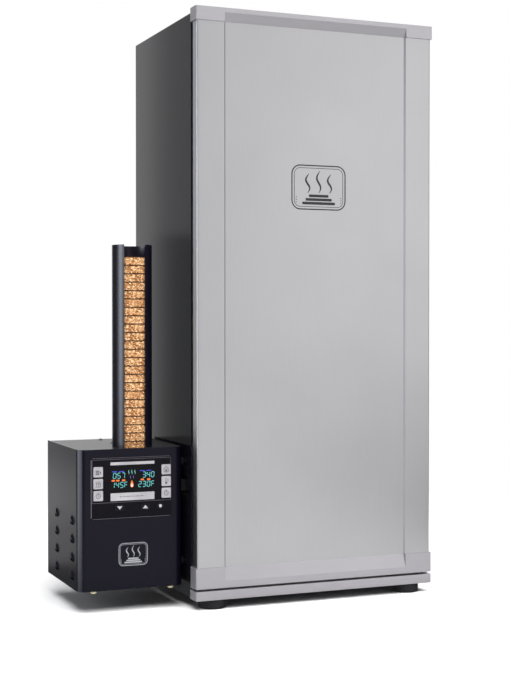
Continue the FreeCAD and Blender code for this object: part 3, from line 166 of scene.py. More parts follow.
def brushed(name, colour, rough, along="z", depth=0.02, metallic=1.0):
    """Brushed metal: long fine scratches along one axis, with a faint cloudy shade."""
    finish = Finish(name, metallic=metallic)
    lines = finish.noise(1600, GRAIN[along], detail=3, rough=0.7)
    shade = finish.clouded(colour, finish.noise(7), darker=0.975, lighter=1.02)
    streak = finish.ramp(lines, (0.25, grey(0.93)), (0.75, grey(1)))
    finish.colour(finish.times(shade, streak))
    finish.roughness(finish.level(lines, over=(0.25, 0.75), into=(rough - 0.04, rough + 0.05)))
    finish.relief(lines, strength=0.25, depth=depth)
    return finish.material


def bare_metal(name, colour, rough, scale, stain=0.9):
    """Plain metal as rolled or plated: soft mottling and a slightly uneven surface."""
    finish = Finish(name, metallic=1.0)
    mottle = finish.noise(scale, detail=4, rough=0.6)
    cloud = finish.noise(22, detail=3)
    shade = finish.clouded(colour, cloud, darker=stain, lighter=1.0, over=(0.35, 0.65))
    speck = finish.ramp(mottle, (0.3, grey(0.9)), (0.7, grey(1)))
    finish.colour(finish.times(shade, speck))
    finish.roughness(finish.level(mottle, over=(0.3, 0.7), into=(rough - 0.05, rough + 0.07)))
    finish.relief(mottle, strength=0.3, depth=0.03)
    return finish.material


def painted(name, colour, rough, peel, gloss=0.5):
    """Baked paint on sheet steel: fine orange peel, faint specks and a slow change of shade."""
    finish = Finish(name, metallic=0.0, specular_ior_level=gloss)
    peel_skin = finish.noise(420, rough=0.4)
    grit = finish.noise(2600, detail=1)
    shade = finish.clouded(colour, finish.noise(5), darker=0.875, lighter=1.125)
    speckled = finish.level(grit, over=(0.6, 0.8), into=(0.0, 0.35))
    finish.colour(finish.blend(speckled, shade, toned(colour, 1.7)))
    finish.roughness(finish.level(peel_skin, over=(0.3, 0.7), into=(rough - 0.015, rough + 0.02)))
    finish.relief(peel_skin, strength=0.2, depth=peel)
    return finish.material


def moulded(name, colour, rough, spark=900, depth=0.03, gloss=0.5):
    """Moulded plastic or rubber with a fine spark-eroded grain."""
    finish = Finish(name, metallic=0.0, specular_ior_level=gloss)
    grain = finish.cells(spark).outputs["Distance"]
    cloud = finish.noise(40, detail=3)
    finish.colour(finish.clouded(colour, cloud, darker=0.88, lighter=1.1, over=(0.35, 0.65)))
    finish.roughness(finish.level(cloud, over=(0.3, 0.7), into=(rough - 0.05, rough + 0.05)))
    finish.relief(grain, strength=0.35, depth=depth)
    return finish.material


def printed(name, colour):
    """Screen-printed ink: even, with tiny pinholes that let the ground through."""
    finish = Finish(name, metallic=0.0)
    pin = finish.noise(3200)
    finish.colour(finish.ramp(pin, (0.3, toned(colour, 0.8)), (0.5, colour)))
    finish.roughness(finish.level(pin, into=(0.45, 0.58)))
    finish.relief(pin, strength=0.15, depth=0.01)
    return finish.material


def lit(name, colour, strength):
    """A lit part of the display, a little uneven from dot to dot."""
    finish = Finish(name, roughness=0.4, emission_strength=strength)
    dots = finish.noise(1500, detail=1)
    glow = finish.ramp(dots, (0.3, toned(colour, 0.8)), (0.7, colour))
    finish.colour(toned(colour, 0.2))
    finish.join(glow, finish.shader.inputs["Emission Color"])
    return finish.material


def wool(name):
    """Mineral wool: matted yellow-brown fibres."""
    finish = Finish(name, roughness=0.95)
    strands = finish.noise(500, (1, 0.2, 1), detail=5, rough=0.7, bend=2.0)
    finish.colour(finish.ramp(strands, (0.3, srgb(150, 122, 70)), (0.7, srgb(222, 200, 140))))
    finish.relief(strands, strength=0.9, depth=1.0)
    return finish.material


WOOD_TANS = (
    (0.0, srgb(110, 62, 32)), (0.2, srgb(158, 104, 62)), (0.5, srgb(190, 138, 92)),
    (0.8, srgb(214, 170, 122)), (1.0, srgb(246, 214, 172)),
)
FLAKES_PER_METRE = 400


def pressed_wood(name, shade):
    """Wood chips pressed into a puck: flakes of many tans, dark gaps between them, and fine grain."""
    finish = Finish(name, roughness=0.8, specular_ior_level=0.2)
    warp = finish.level(finish.noise(200), into=(0.0, 0.005))
    stretched = finish.place((1, 1, 1.5))
    where = finish.add("ShaderNodeVectorMath", {0: stretched, 1: warp}, operation="ADD").outputs[0]
    flake = finish.cells(FLAKES_PER_METRE, where=where).outputs["Color"]
    edge = finish.cells(FLAKES_PER_METRE, feature="DISTANCE_TO_EDGE", where=where).outputs["Distance"]
    tone = finish.add("ShaderNodeSeparateColor", {"Color": flake}).outputs["Red"]
    chip = finish.ramp(tone, *((position, toned(colour, shade)) for position, colour in WOOD_TANS))
    fibre = finish.noise(900, (1, 1, 0.25), detail=3)
    grain = finish.ramp(fibre, (0.3, (0.88, 0.84, 0.8, 1)), (0.65, grey(1)))
    gap = finish.level(edge, over=(0.0, 0.07), into=(0.25, 1.0))
    finish.colour(finish.blend(gap, toned(srgb(60, 30, 14), shade), finish.times(chip, grain)))
    finish.relief(gap, strength=0.5, depth=0.5)
    finish.relief(fibre, strength=0.3, depth=0.15)
    return finish.material


def oxide_sheath(name):
    """Heater sheath, dark and straw-coloured where it has been hot."""
    finish = Finish(name, metallic=1.0)
    heat = finish.noise(35, detail=3)
    tints = ((0.3, srgb(62, 58, 62)), (0.5, srgb(92, 84, 78)), (0.7, srgb(122, 100, 76)))
    finish.colour(finish.ramp(heat, *tints))
    finish.roughness(finish.level(heat, into=(0.35, 0.6)))
    finish.relief(finish.noise(700, detail=3), strength=0.3, depth=0.05)
    return finish.material


def circuit_board(name):
    """Green lacquer with copper tracks showing through as lighter lines."""
    finish = Finish(name, roughness=0.35)
    tracks = finish.cells(160, feature="DISTANCE_TO_EDGE", jitter=0.3).outputs["Distance"]
    finish.colour(finish.ramp(tracks, (0.02, srgb(40, 128, 70)), (0.06, srgb(14, 74, 38))))
    finish.relief(tracks, strength=0.3, depth=0.05)
    return finish.material


def display_glass(name):
    """Smoked display window: nearly black, glossy, with the faint dot grid of the panel behind it."""
    finish = Finish(name, specular_ior_level=0.12)
    dots = finish.cells(1100, jitter=0.0).outputs["Distance"]
    finish.colour(finish.ramp(dots, (0.1, (0.0022, 0.0022, 0.004, 1)), (0.5, (0.0012, 0.0012, 0.0022, 1))))
    finish.roughness(finish.level(finish.noise(60, detail=3), into=(0.08, 0.2)))
    return finish.material


FINISHES = {
    "door_steel": brushed("door_steel", srgb(204, 203, 206), rough=0.36),
    "cap_grey": brushed("cap_grey", srgb(168, 166, 170), rough=0.36, along="x", depth=0.01, metallic=0.62),
    "trim_steel": brushed("trim_steel", srgb(174, 171, 176), rough=0.38, along="x", metallic=0.6),
    "shell_black": painted("shell_black", (0.0060, 0.0060, 0.0088, 1), rough=0.12, peel=0.004, gloss=0.46),
    "inner_steel": brushed("inner_steel", srgb(200, 199, 196), rough=0.28, depth=0.01),
    "tray_steel": brushed("tray_steel", srgb(196, 195, 192), rough=0.3, along="x"),
    "rack_wire": bare_metal("rack_wire", srgb(214, 214, 216), rough=0.2, scale=500),
    "wool": wool("wool"),
    "foot_rubber": moulded("foot_rubber", (0.012, 0.012, 0.014, 1), rough=0.62, spark=700, depth=0.05),
    "zinc_steel": bare_metal("zinc_steel", srgb(196, 200, 206), rough=0.3, scale=300, stain=0.8),
    # bolt_black is nearly black: painted shade for the bolts and spacers in the dark gap between the
    # generator and the cabinet.
    "bolt_black": painted("bolt_black", (0.006, 0.006, 0.007, 1), rough=0.45, peel=0.02, gloss=0.25),
    "vent_black": painted("vent_black", (0.010, 0.010, 0.012, 1), rough=0.4, peel=0.06),
    "heater_sheath": oxide_sheath("heater_sheath"),
    "probe_steel": brushed("probe_steel", srgb(206, 206, 208), rough=0.25, along="y"),
    "inlet_black": moulded("inlet_black", (0.014, 0.014, 0.015, 1), rough=0.45),
    "gasket_black": moulded("gasket_black", (0.010, 0.010, 0.012, 1), rough=0.6, spark=1300, depth=0.02),
    "emblem_print": printed("emblem_print", (0.018, 0.018, 0.022, 1)),
    "mark_print": printed("mark_print", srgb(146, 146, 152)),
    "generator_black": painted("generator_black", (0.0034, 0.0029, 0.0078, 1), rough=0.25, peel=0.004,
                               gloss=0.16),
    "lid_grey": painted("lid_grey", (0.009, 0.009, 0.010, 1), rough=0.36, peel=0.008, gloss=0.16),
    "bumper_cream": moulded("bumper_cream", srgb(206, 196, 160), rough=0.5),
    "tube_black": painted("tube_black", (0.0048, 0.0043, 0.0095, 1), rough=0.3, peel=0.006, gloss=0.30),
    "pressed_wood": pressed_wood("pressed_wood", shade=1.08),
    # deck_steel is nearly black: painted shade on the galvanised feed deck and its tunnel under the feed
    # tube.
    "deck_steel": painted("deck_steel", (0.008, 0.008, 0.009, 1), rough=0.5, peel=0.02, gloss=0.25),
    "burner_aluminium": bare_metal("burner_aluminium", srgb(176, 172, 166), rough=0.45, scale=200, stain=0.7),
    "pusher_aluminium": brushed("pusher_aluminium", srgb(204, 205, 207), rough=0.32, along="x"),
    "pinion_steel": bare_metal("pinion_steel", srgb(170, 168, 166), rough=0.3, scale=400),
    "motor_grey": bare_metal("motor_grey", srgb(150, 152, 156), rough=0.42, scale=220),
    "board_green": circuit_board("board_green"),
    "bezel_black": moulded("bezel_black", (0.0040, 0.0034, 0.0056, 1), rough=0.3, spark=1500, depth=0.01,
                           gloss=0.08),
    "display_dark": display_glass("display_dark"),
    "key_silver": moulded("key_silver", srgb(158, 156, 160), rough=0.4, spark=1600, depth=0.01),
    "key_black": moulded("key_black", (0.0046, 0.0042, 0.0058, 1), rough=0.32, spark=1500, depth=0.01,
                         gloss=0.16),
}
# Darker wood for the puck rims: painted shade in the grooves between stacked pucks.
PUCK_RIM_SHADE = pressed_wood("puck_rim_shade", shade=0.3)


def dress_cad_nodes():
    """Every CAD node takes the finish that is named like its material slot."""
    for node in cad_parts.values():
        slots = node.data.materials
        for index, old in enumerate(slots):
            slots[index] = FINISHES[old.name.split(".")[0]]


# ---------------------------------------------------------------- building pieces

def piece(name, shape, finish, body, replaced=(), smooth=None):
    """Turns a bmesh into a piece of the object that rides on a CAD body."""
    mesh = bpy.data.meshes.new(name)
    bmesh.ops.recalc_face_normals(shape, faces=shape.faces)
    shape.to_mesh(mesh)
    shape.free()
    mesh.materials.append(finish)
    made = bpy.data.objects.new(name, mesh)
    SCENE.collection.objects.link(made)
    if smooth is not None:
        mesh.shade_smooth()
        mesh.set_sharp_from_angle(angle=math.radians(smooth))
    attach(made, body)
    if replaced:
        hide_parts(*replaced)
    return made


def prism(shape, outline, front, back):
    """A flat plate: an outline of (x, z) points between two depths y."""
    near = [shape.verts.new((x, front, z)) for x, z in outline]
    far = [shape.verts.new((x, back, z)) for x, z in outline]
    shape.faces.new(near)
    shape.faces.new(reversed(far))
    for index in range(len(outline)):
        after = (index + 1) % len(outline)
        shape.faces.new((near[index], far[index], far[after], near[after]))


def ribbon(shape, points, width, front, back, closed=False):
    """A line of constant width, or of a width per point, along (x, z) points, between two depths y."""
    count = len(points)
    widths = width if isinstance(width, (list, tuple)) else [width] * count
    sides = []
    for index, (x, z) in enumerate(points):
        before = points[index - 1] if closed or index > 0 else points[index]
        after = points[(index + 1) % count] if closed or index < count - 1 else points[index]
        run = Vector((after[0] - before[0], after[1] - before[1])).normalized()
        across = Vector((-run.y, run.x)) * widths[index] / 2
        sides.append([(x + across.x, z + across.y), (x - across.x, z - across.y)])
    rings = [[shape.verts.new((x, depth, z)) for depth in (front, back) for x, z in pair] for pair in sides]
    for index in range(count if closed else count - 1):
        a, b = rings[index], rings[(index + 1) % count]
        shape.faces.new((a[0], a[1], b[1], b[0]))
        shape.faces.new((a[2], b[2], b[3], a[3]))
        shape.faces.new((a[0], b[0], b[2], a[2]))
        shape.faces.new((a[1], a[3], b[3], b[1]))
    if not closed:
        for ring in (rings[0], rings[-1]):
            shape.faces.new((ring[0], ring[2], ring[3], ring[1]))


def bridge(shape, first, second, material=0):
    """A band of faces between two closed rings of the same number of points."""
    for step in range(len(first)):
        after = (step + 1) % len(first)
        face = shape.faces.new((first[step], first[after], second[after], second[step]))
        face.material_index = material


def arc_points(centre, radius, start, end, steps):
    """Points along an arc, in degrees."""
    turns = [math.radians(start + (end - start) * step / steps) for step in range(steps + 1)]
    return [(centre[0] + radius * math.cos(turn), centre[1] + radius * math.sin(turn)) for turn in turns]


def circle(centre, radius, count):
    """A closed outline of that many points."""
    return arc_points(centre, radius, 0, 360 - 360 / count, count - 1)


def round_rectangle(low, high, radius, steps=8):
    """The outline of a rectangle with round corners."""
    left, right = low[0] + radius, high[0] - radius
    bottom, top = low[1] + radius, high[1] - radius
    corners = (((right, top), 0), ((left, top), 90), ((left, bottom), 180), ((right, bottom), 270))
    quarters = [arc_points(centre, radius, start, start + 90, steps) for centre, start in corners]
    return [point for quarter in quarters for point in quarter]


def islands(node):
    """The box of each separate solid of a CAD node."""
    same_point = 1e-6
    source = bmesh.new()
    source.from_mesh(node.data)
    bmesh.ops.remove_doubles(source, verts=source.verts, dist=same_point)
    left = set(source.verts)
    boxes = []
    while left:
        found = [left.pop()]
        for vertex in found:
            for edge in vertex.link_edges:
                other = edge.other_vert(vertex)
                if other in left:
                    left.remove(other)
                    found.append(other)
        corners = [vertex.co for vertex in found]
        boxes.append((Vector([min(c[i] for c in corners) for i in range(3)]),
                      Vector([max(c[i] for c in corners) for i in range(3)])))
    source.free()
    return sorted(boxes, key=lambda box: (round(box[0].z, 4), round(box[0].x, 4), round(box[0].y, 4)))


# ---------------------------------------------------------------- wood pucks

PUCK_TALL = 13.6 * MM
FACE_RINGS = (0.35, 0.7, 1.0)
RIM = 0.8 * MM
# Width and ragged edge of the band of painted shade on each puck's wall next to its rim.
RIM_SHADE_LINE = 0.3 * MM
RIM_SHADE_WANDER = 0.5 * MM
CHIP_RELIEF = 0.55 * MM
SEAT_GAP = 0.1 * MM
CHIPS_PER_METRE = 330
GRIT_PER_METRE = 900
WAVES_PER_METRE = 300
SEED_RANGE = 90


def puck_shape(seed, radius, tall):
    """A pressed puck: a low drum with a ragged dark band at each rim, painted shade for the groove where
    stacked pucks meet, and a chip relief on its wall and faces.
    """
    shape = bmesh.new()
    wall_low, wall_high = RIM + RIM_SHADE_LINE, tall - RIM - RIM_SHADE_LINE
    profile = [(share * (radius - RIM), 0.0) for share in FACE_RINGS]
    profile += [(radius, RIM), (radius, wall_low)]
    profile += [(radius, tall * quarter / 4) for quarter in (1, 2, 3)]
    profile += [(radius, wall_high), (radius, tall - RIM)]
    profile += [(share * (radius - RIM), tall) for share in reversed(FACE_RINGS)]
    segments = 96
    shift = Vector((seed * 7.3, seed * 3.1, seed * 5.7))
    rings = []
    for out, height in profile:
        on_wall = out > radius * 0.9
        ring = []
        for step in range(segments):
            turn = 2 * math.pi * step / segments
            spot = Vector((out * math.cos(turn), out * math.sin(turn), height))
            chip = noise.cell(spot * CHIPS_PER_METRE + shift)
            grit = noise.noise(spot * GRIT_PER_METRE + shift)
            dent = CHIP_RELIEF * (0.5 * chip + 0.25 * grit + 0.25)
            inward = Vector((spot.x, spot.y, 0)).normalized() * dent * (1 if on_wall else 0)
            lift = (SEAT_GAP + 0.3 * dent) * (1 if height == 0 else -1 if height == tall else 0)
            if height in (wall_low, wall_high):
                lift = RIM_SHADE_WANDER * noise.noise(spot * WAVES_PER_METRE + shift)
            ring.append(shape.verts.new(spot - inward + Vector((0, 0, lift))))
        rings.append(ring)
    heights = [height for _, height in profile]
    for low, high, low_height, high_height in zip(rings, rings[1:], heights, heights[1:]):
        # The chamfers and the thin bands next to them take the darker rim finish: painted shade between
        # stacked pucks.
        in_rim_shade = low_height != high_height and (high_height <= wall_low or low_height >= wall_high)
        bridge(shape, low, high, material=1 if in_rim_shade else 0)
    shape.faces.new(reversed(rings[0]))
    shape.faces.new(rings[-1])
    return shape


def pucks(node, body, prefix, chance):
    """A detailed puck for each puck's height of each separate stack of a CAD node."""
    number = 0
    loose = 0.2
    for low, high in islands(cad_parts[node]):
        size = high - low
        middle = (low + high) / 2
        count = round(size.z / PUCK_TALL)
        tall = size.z / count
        for level in range(count):
            number += 1
            shape = puck_shape(chance.random() * SEED_RANGE, size.x / 2, tall)
            turn = chance.uniform(0, 2 * math.pi)
            slide = Vector((chance.uniform(-loose, loose), chance.uniform(-loose, loose), 0)) * MM
            made = piece(f"{prefix}_{number:02d}", shape, FINISHES["pressed_wood"], body,
                         [node], smooth=40)
            made.data.materials.append(PUCK_RIM_SHADE)
            made.location = Vector((middle.x, middle.y, low.z + level * tall)) + slide
            made.rotation_euler.z = turn


# ---------------------------------------------------------------- screws

CROSS_REACH = 0.62
CROSS_HALF_WIDTH = 0.17
CROSS_DEPTH = 0.55


def screw_head(shape, low, high):
    """A pan head with a cross recess, in the place of a plain CAD head, pointing along its thin axis."""
    size = high - low
    thin = min(range(3), key=lambda axis: size[axis])
    tall = size[thin]
    radius = max(size) / 2
    segments, steps, flat_top = 40, 12, 0.4
    start = len(shape.verts)
    rings = []
    for step in range(steps + 1):
        out = radius * (1 - step / (steps + flat_top))
        share = out / radius
        height = tall * (1 - share ** 4) ** 0.5 if step else 0.0
        ring = []
        for segment in range(segments):
            turn = 2 * math.pi * segment / segments
            across, along = out * math.cos(turn), out * math.sin(turn)
            in_cross = share < CROSS_REACH and min(abs(across), abs(along)) < radius * CROSS_HALF_WIDTH
            ring.append(shape.verts.new((across, along, height - (CROSS_DEPTH * tall if in_cross else 0.0))))
        rings.append(ring)
    for lower, upper in zip(rings, rings[1:]):
        bridge(shape, lower, upper)
    shape.faces.new(rings[-1])
    shape.faces.new(reversed(rings[0]))
    shape.verts.ensure_lookup_table()
    turned = Matrix.Rotation(math.radians(-90), 4, "X") if thin == 1 else Matrix.Identity(4)
    seat = (low + high) / 2
    seat[thin] = low[thin]
    for vertex in shape.verts[start:]:
        vertex.co = seat + (turned @ vertex.co)


def screws():
    shape = bmesh.new()
    for low, high in islands(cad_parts["panel_screws"]):
        screw_head(shape, low, high)
    piece("screw_heads", shape, FINISHES["zinc_steel"], "cabinet", ["panel_screws"], smooth=30)


# ---------------------------------------------------------------- emblem of smoke over pucks

def smoke_wave(shape, x, low, high, swing, width, front, back):
    """One rising curl of smoke, thin at its ends."""
    steps = 24
    half_waves = 2.2
    thinnest = 0.25
    points, widths = [], []
    for step in range(steps + 1):
        share = step / steps
        points.append((x + swing * math.sin(share * half_waves * math.pi), low + (high - low) * share))
        widths.append(width * (thinnest + (1 - thinnest) * math.sin(math.pi * share)))
    ribbon(shape, points, widths, front, back)


def smoke_mark(name, node, finish, body):
    """A generic printed mark: round-cornered double frame, three curls of smoke, and a stack of pucks.

    Its sizes are shares of the width and the height of the node that it replaces.
    """
    low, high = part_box(node)
    wide, tall = high.x - low.x, high.z - low.z
    middle = (low + high) / 2
    depths = (high.y - 0.12 * MM, high.y)
    shape = bmesh.new()

    def at(across, up):
        return (middle.x + across * wide, middle.z + up * tall)

    corner_radius = 0.16
    for inset, line in ((0.012, 0.020), (0.055, 0.009)):
        edge = inset * wide
        outline = round_rectangle((low.x + edge, low.z + edge), (high.x - edge, high.z - edge),
                                  corner_radius * wide - edge)
        ribbon(shape, outline, line * wide, *depths, closed=True)
    for across, reach in ((-0.2, 0.30), (0.0, 0.37), (0.2, 0.30)):
        x, bottom = at(across, -0.12)
        top = at(across, reach)[1]
        smoke_wave(shape, x, bottom, top, 0.035 * wide, 0.034 * wide, *depths)
    stack_foot, puck_pitch, puck_tall = -0.38, 0.082, 0.06
    for level, half in enumerate((0.30, 0.24, 0.18)):
        bottom = stack_foot + puck_pitch * level
        outline = round_rectangle(at(-half, bottom), at(half, bottom + puck_tall), 0.012 * wide, steps=4)
        prism(shape, outline, *depths)
    for side in (-1, 1):
        for step in range(3):
            prism(shape, circle(at(side * 0.41, -0.33 + 0.055 * step), 0.009 * wide, 12), *depths)
    return piece(name, shape, finish, body, [node])


# ---------------------------------------------------------------- prints on the control panel

class Print:
    """Flat marks on a face, drawn in millimetres right of and above one point of it."""

    def __init__(self, x, z, face, proud=0.06, sunk=0.02):
        """The marks reach from so far in front of the face to so far behind it."""
        self.shape = bmesh.new()
        self.x = x
        self.z = z
        self.depths = (face - proud * MM, face + sunk * MM)

    def at(self, right, up):
        return (self.x + right * MM, self.z + up * MM)

    def plate(self, points):
        prism(self.shape, [self.at(*point) for point in points], *self.depths)

    def line(self, points, width, closed=False):
        ribbon(self.shape, [self.at(*point) for point in points], width * MM, *self.depths, closed=closed)

    def bar(self, low, high, radius, steps=2):
        """A filled rectangle with round corners."""
        self.plate(round_rectangle(low, high, radius, steps))

    def smoke(self, right, low, high, swing, width):
        x, bottom = self.at(right, low)
        top = self.at(right, high)[1]
        smoke_wave(self.shape, x, bottom, top, swing * MM, width * MM, *self.depths)


def flame_outline(x, base, half, tall):
    """A teardrop flame: a round foot that closes to a leaning tip."""
    steps = 28
    fullness, taper, sway = 1.5, 0.6, 0.12
    points = []
    for step in range(steps):
        turn = 2 * math.pi * step / steps
        rise = (1 - math.cos(turn)) / 2
        reach = fullness * half * math.sin(turn) * (1 - rise) ** taper
        lean = sway * half * rise * math.sin(3 * turn)
        points.append((x + reach + lean, base + tall * rise))
    return points


def face_size(node):
    """The width and the height of a node, in millimetres."""
    low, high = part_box(node)
    return (high.x - low.x) / MM, (high.z - low.z) / MM


# ---------------------------------------------------------------- display

SEGMENTS = {
    "0": "abcdef", "1": "bc", "2": "abged", "3": "abgcd", "4": "fgbc", "5": "afgcd", "7": "abc", "F": "aefg",
}
SEGMENT_ENDS = {
    "a": ((0, 2), (1, 2)), "b": ((1, 2), (1, 1)), "c": ((1, 1), (1, 0)), "d": ((0, 0), (1, 0)),
    "e": ((0, 1), (0, 0)), "f": ((0, 2), (0, 1)), "g": ((0, 1), (1, 1)),
}
DIGIT_TALL = 8.6
DIGIT_HALF = DIGIT_TALL / 2
DIGIT_WIDE = 0.52 * DIGIT_TALL
DIGIT_LEAN = 0.08 * DIGIT_HALF
DIGIT_BAR = 0.135 * DIGIT_TALL
DIGIT_PITCH = 7.2


def window_print(proud=0.1, sunk=-0.05):
    """A print that floats in front of the display window, measured from the window's lower left corner."""
    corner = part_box("display_window")[0]
    return Print(corner.x, corner.z, corner.y, proud, sunk)


def bar_outline(start, end, width):
    """A display bar with pointed ends between two points."""
    run = Vector((end[0] - start[0], end[1] - start[1]))
    along = run.normalized() * width / 2
    across = Vector((-along.y, along.x))
    gap = along * 0.35
    a, b = Vector(start) + gap, Vector(end) - gap
    corners = (a, a + along + across, b - along + across, b, b - along - across, a + along - across)
    return [tuple(corner) for corner in corners]


def digits(lit_bars, dark_bars, text, x, z):
    """A row of seven-bar characters: the lit bars on one print and the dark ones on the other."""
    for place, letter in enumerate(text):
        left = x + place * DIGIT_PITCH
        for bar, ends in SEGMENT_ENDS.items():
            start, end = ((left + across * DIGIT_WIDE + up * DIGIT_LEAN, z + up * DIGIT_HALF)
                          for across, up in ends)
            ink = lit_bars if bar in SEGMENTS[letter] else dark_bars
            ink.plate(bar_outline(start, end, DIGIT_BAR))


def display_readings():
    """Two times over two temperatures, in lit and unlit bars."""
    wide, tall = face_size("display_window")
    lit_bars = window_print()
    dark_bars = window_print(proud=0.07, sunk=-0.02)
    upper, lower = tall - 20.6, 7.4
    columns = (("057", 5.2, "145F", 2.4), ("340", wide - 20.8, "230F", wide - 28.0))
    for time, time_left, heat, heat_left in columns:
        digits(lit_bars, dark_bars, time, time_left, upper)
        colon = time_left + DIGIT_PITCH - 0.8
        for up in (0.3, 0.7):
            lit_bars.plate(circle((colon, upper + up * DIGIT_TALL), radius=0.6, count=12))
        digits(lit_bars, dark_bars, heat, heat_left, lower)
        degree = (heat_left + 3 * DIGIT_PITCH - 1.0, lower + 0.95 * DIGIT_TALL)
        lit_bars.line(circle(degree, radius=0.65, count=12), 0.35, closed=True)
    glow = lit("display_teal", srgb(110, 206, 206), strength=0.72)
    unlit = moulded("display_unlit", (0.003, 0.005, 0.006, 1), rough=0.3, gloss=0.12)
    piece("display_readings", lit_bars.shape, glow, "cabinet")
    piece("display_unlit_bars", dark_bars.shape, unlit, "cabinet")


def display_marks():
    """Small caption bars, the smoke wisps and the flame between the readings."""
    wide, tall = face_size("display_window")
    centre = 36.6
    wisp_pitch = 5.2
    captions, heat, wisps, streams, flame = (window_print() for _ in range(5))
    core = window_print(proud=0.15, sunk=-0.11)
    for x in (3.4, 15.2, wide - 25.4, wide - 14.4):
        for step in range(5):
            dash = x + step * 1.7
            captions.bar((dash, tall - 10.4), (dash + 1.3, tall - 9.1), radius=0.2)
    for x in (2.6, 10.2, 20.0, wide - 24.2, wide - 13.4):
        heat.bar((x, 17.6), (x + 5.6, 20.4), radius=0.9, steps=3)
    for step in (-1, 0, 1):
        wisps.smoke(centre + step * wisp_pitch, tall - 14.8, tall - 7.6, swing=0.5, width=1.2)
    for step in (-0.5, 0.5):
        streams.smoke(centre + step * wisp_pitch, tall - 22.2, tall - 16.4, swing=0.4, width=1.0)
    base = 7.2
    flame.plate(flame_outline(centre, base, half=2.6, tall=11.5))
    core.plate(flame_outline(centre, base + 0.6, half=1.3, tall=6.0))
    lit_pieces = (("display_captions", captions, srgb(70, 84, 232), 1.0),
                  ("display_heat_marks", heat, srgb(238, 116, 44), 1.0),
                  ("display_smoke_wisps", wisps, srgb(120, 190, 186), 0.9),
                  ("display_smoke_streams", streams, srgb(104, 92, 168), 0.8),
                  ("display_flame", flame, srgb(236, 120, 36), 1.0),
                  ("display_flame_core", core, srgb(250, 226, 226), 1.2))
    for name, ink, colour, strength in lit_pieces:
        piece(name, ink.shape, lit(f"{name}_glow", colour, strength), "cabinet")


# ---------------------------------------------------------------- panel and key marks

def panel_trim():
    """The two silver bars, the thin light frame, painted highlights along the bezel's left, top and bottom
    edges, and the row of dashes on the lower bar.
    """
    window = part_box("display_window")[0]
    wide, tall = face_size("display_window")
    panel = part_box("control_panel")[0]
    panel_wide, panel_tall = face_size("control_panel")
    face = panel.y
    margin = 0.9

    bars = Print(window.x, window.z, face, proud=0.25, sunk=0.1)
    for bottom, top in ((tall + 0.7, tall + 5.5), (-13.6, -1.2)):
        bars.bar((margin, bottom), (wide - margin, top), radius=0.5, steps=3)
    front_edges = [edge for edge in bars.shape.edges if all(vertex.co.y < face for vertex in edge.verts)]
    bmesh.ops.bevel(bars.shape, geom=front_edges, offset=0.12 * MM, segments=2, affect="EDGES")
    piece("panel_silver_bars", bars.shape, FINISHES["key_silver"], "cabinet", smooth=30)

    border = Print(panel.x, panel.z, face)
    outline = round_rectangle((2.3, 26.0), (panel_wide - 1.6, panel_tall - 3.0), 1.2, steps=4)
    border.line(outline, 0.55, closed=True)
    line_grey = printed("panel_line_grey", srgb(82, 80, 86))
    piece("panel_frame_line", border.shape, line_grey, "cabinet")

    # Painted highlights: light grey lines on the black bezel's left, top and bottom edges, where its rounded
    # edges catch the light.
    edges = Print(panel.x, panel.z, face)
    edges.line([(0.75, 2.5), (0.75, panel_tall - 2.5)], 1.1)
    for up in (0.45, panel_tall - 0.45):
        edges.line([(3.0, up), (panel_wide - 3.0, up)], 0.5)
    edge_highlight_grey = printed("panel_edge_highlight_grey", srgb(84, 84, 92))
    piece("panel_edge_highlights", edges.shape, edge_highlight_grey, "cabinet")

    dashes = Print(window.x, window.z, face, proud=0.3, sunk=-0.24)
    middle, half, gap = -7.2, 0.7, 1.3
    x = margin + 15.0
    for length in (3.4, 1.8, 2.8, 4.2, 1.6, 3.0, 2.2, 3.8, 2.0, 3.2):
        dashes.bar((x, middle - half), (x + length, middle + half), radius=0.3)
        x += length + gap
    dash_grey = printed("panel_dash_grey", srgb(92, 90, 96))
    piece("panel_bar_dashes", dashes.shape, dash_grey, "cabinet")


def icon_clock(ink):
    """A round timer with two hands and a button on top."""
    hub = (0.0, -0.4)
    ink.line(circle(hub, radius=3.6, count=36), 1.0, closed=True)
    for tip in ((0.0, 1.9), (1.7, -1.2)):
        ink.line([hub, tip], 0.8)
    ink.bar((-1.2, 3.9), (1.2, 4.9), radius=0.2)


def icon_smoke(ink):
    """Three curls of smoke over a bar."""
    for right in (-3.0, 0.0, 3.0):
        ink.smoke(right, -3.0, 4.4, swing=0.7, width=1.3)
    ink.bar((-4.6, -5.0), (4.6, -3.9), radius=0.3)


def icon_pucks(ink):
    """Three stacked pucks and an arrowhead beside them."""
    for level in range(3):
        bottom = -4.4 + 2.6 * level
        ink.bar((-4.4, bottom), (2.0, bottom + 1.7), radius=0.5, steps=3)
    ink.plate([(3.0, 1.2), (5.2, -0.9), (3.0, -3.0)])


def icon_thermometer(ink):
    """A bulb, a hollow stem and three scale lines."""
    ink.plate(circle((0.0, -3.0), radius=2.0, count=24))
    ink.line(round_rectangle((-1.1, -2.0), (1.1, 4.8), 1.0, steps=4), 0.7, closed=True)
    for level in range(3):
        up = -0.2 + 1.6 * level
        ink.line([(2.4, up), (4.2, up)], 0.7)


def icon_flame(ink):
    """A hollow flame round a small solid one."""
    ink.line(flame_outline(0.0, -4.6, half=3.9, tall=9.4), 0.9, closed=True)
    ink.plate(flame_outline(0.0, -3.6, half=1.7, tall=4.4))


KEY_ICONS = {
    "key_left_3": icon_clock, "key_left_2": icon_smoke, "key_left_1": icon_pucks,
    "key_right_3": icon_clock, "key_right_2": icon_thermometer, "key_right_1": icon_flame,
}


def key_print(key):
    """A print on the middle of a key's front."""
    low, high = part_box(key)
    return Print((low.x + high.x) / 2, (low.z + high.z) / 2, low.y)


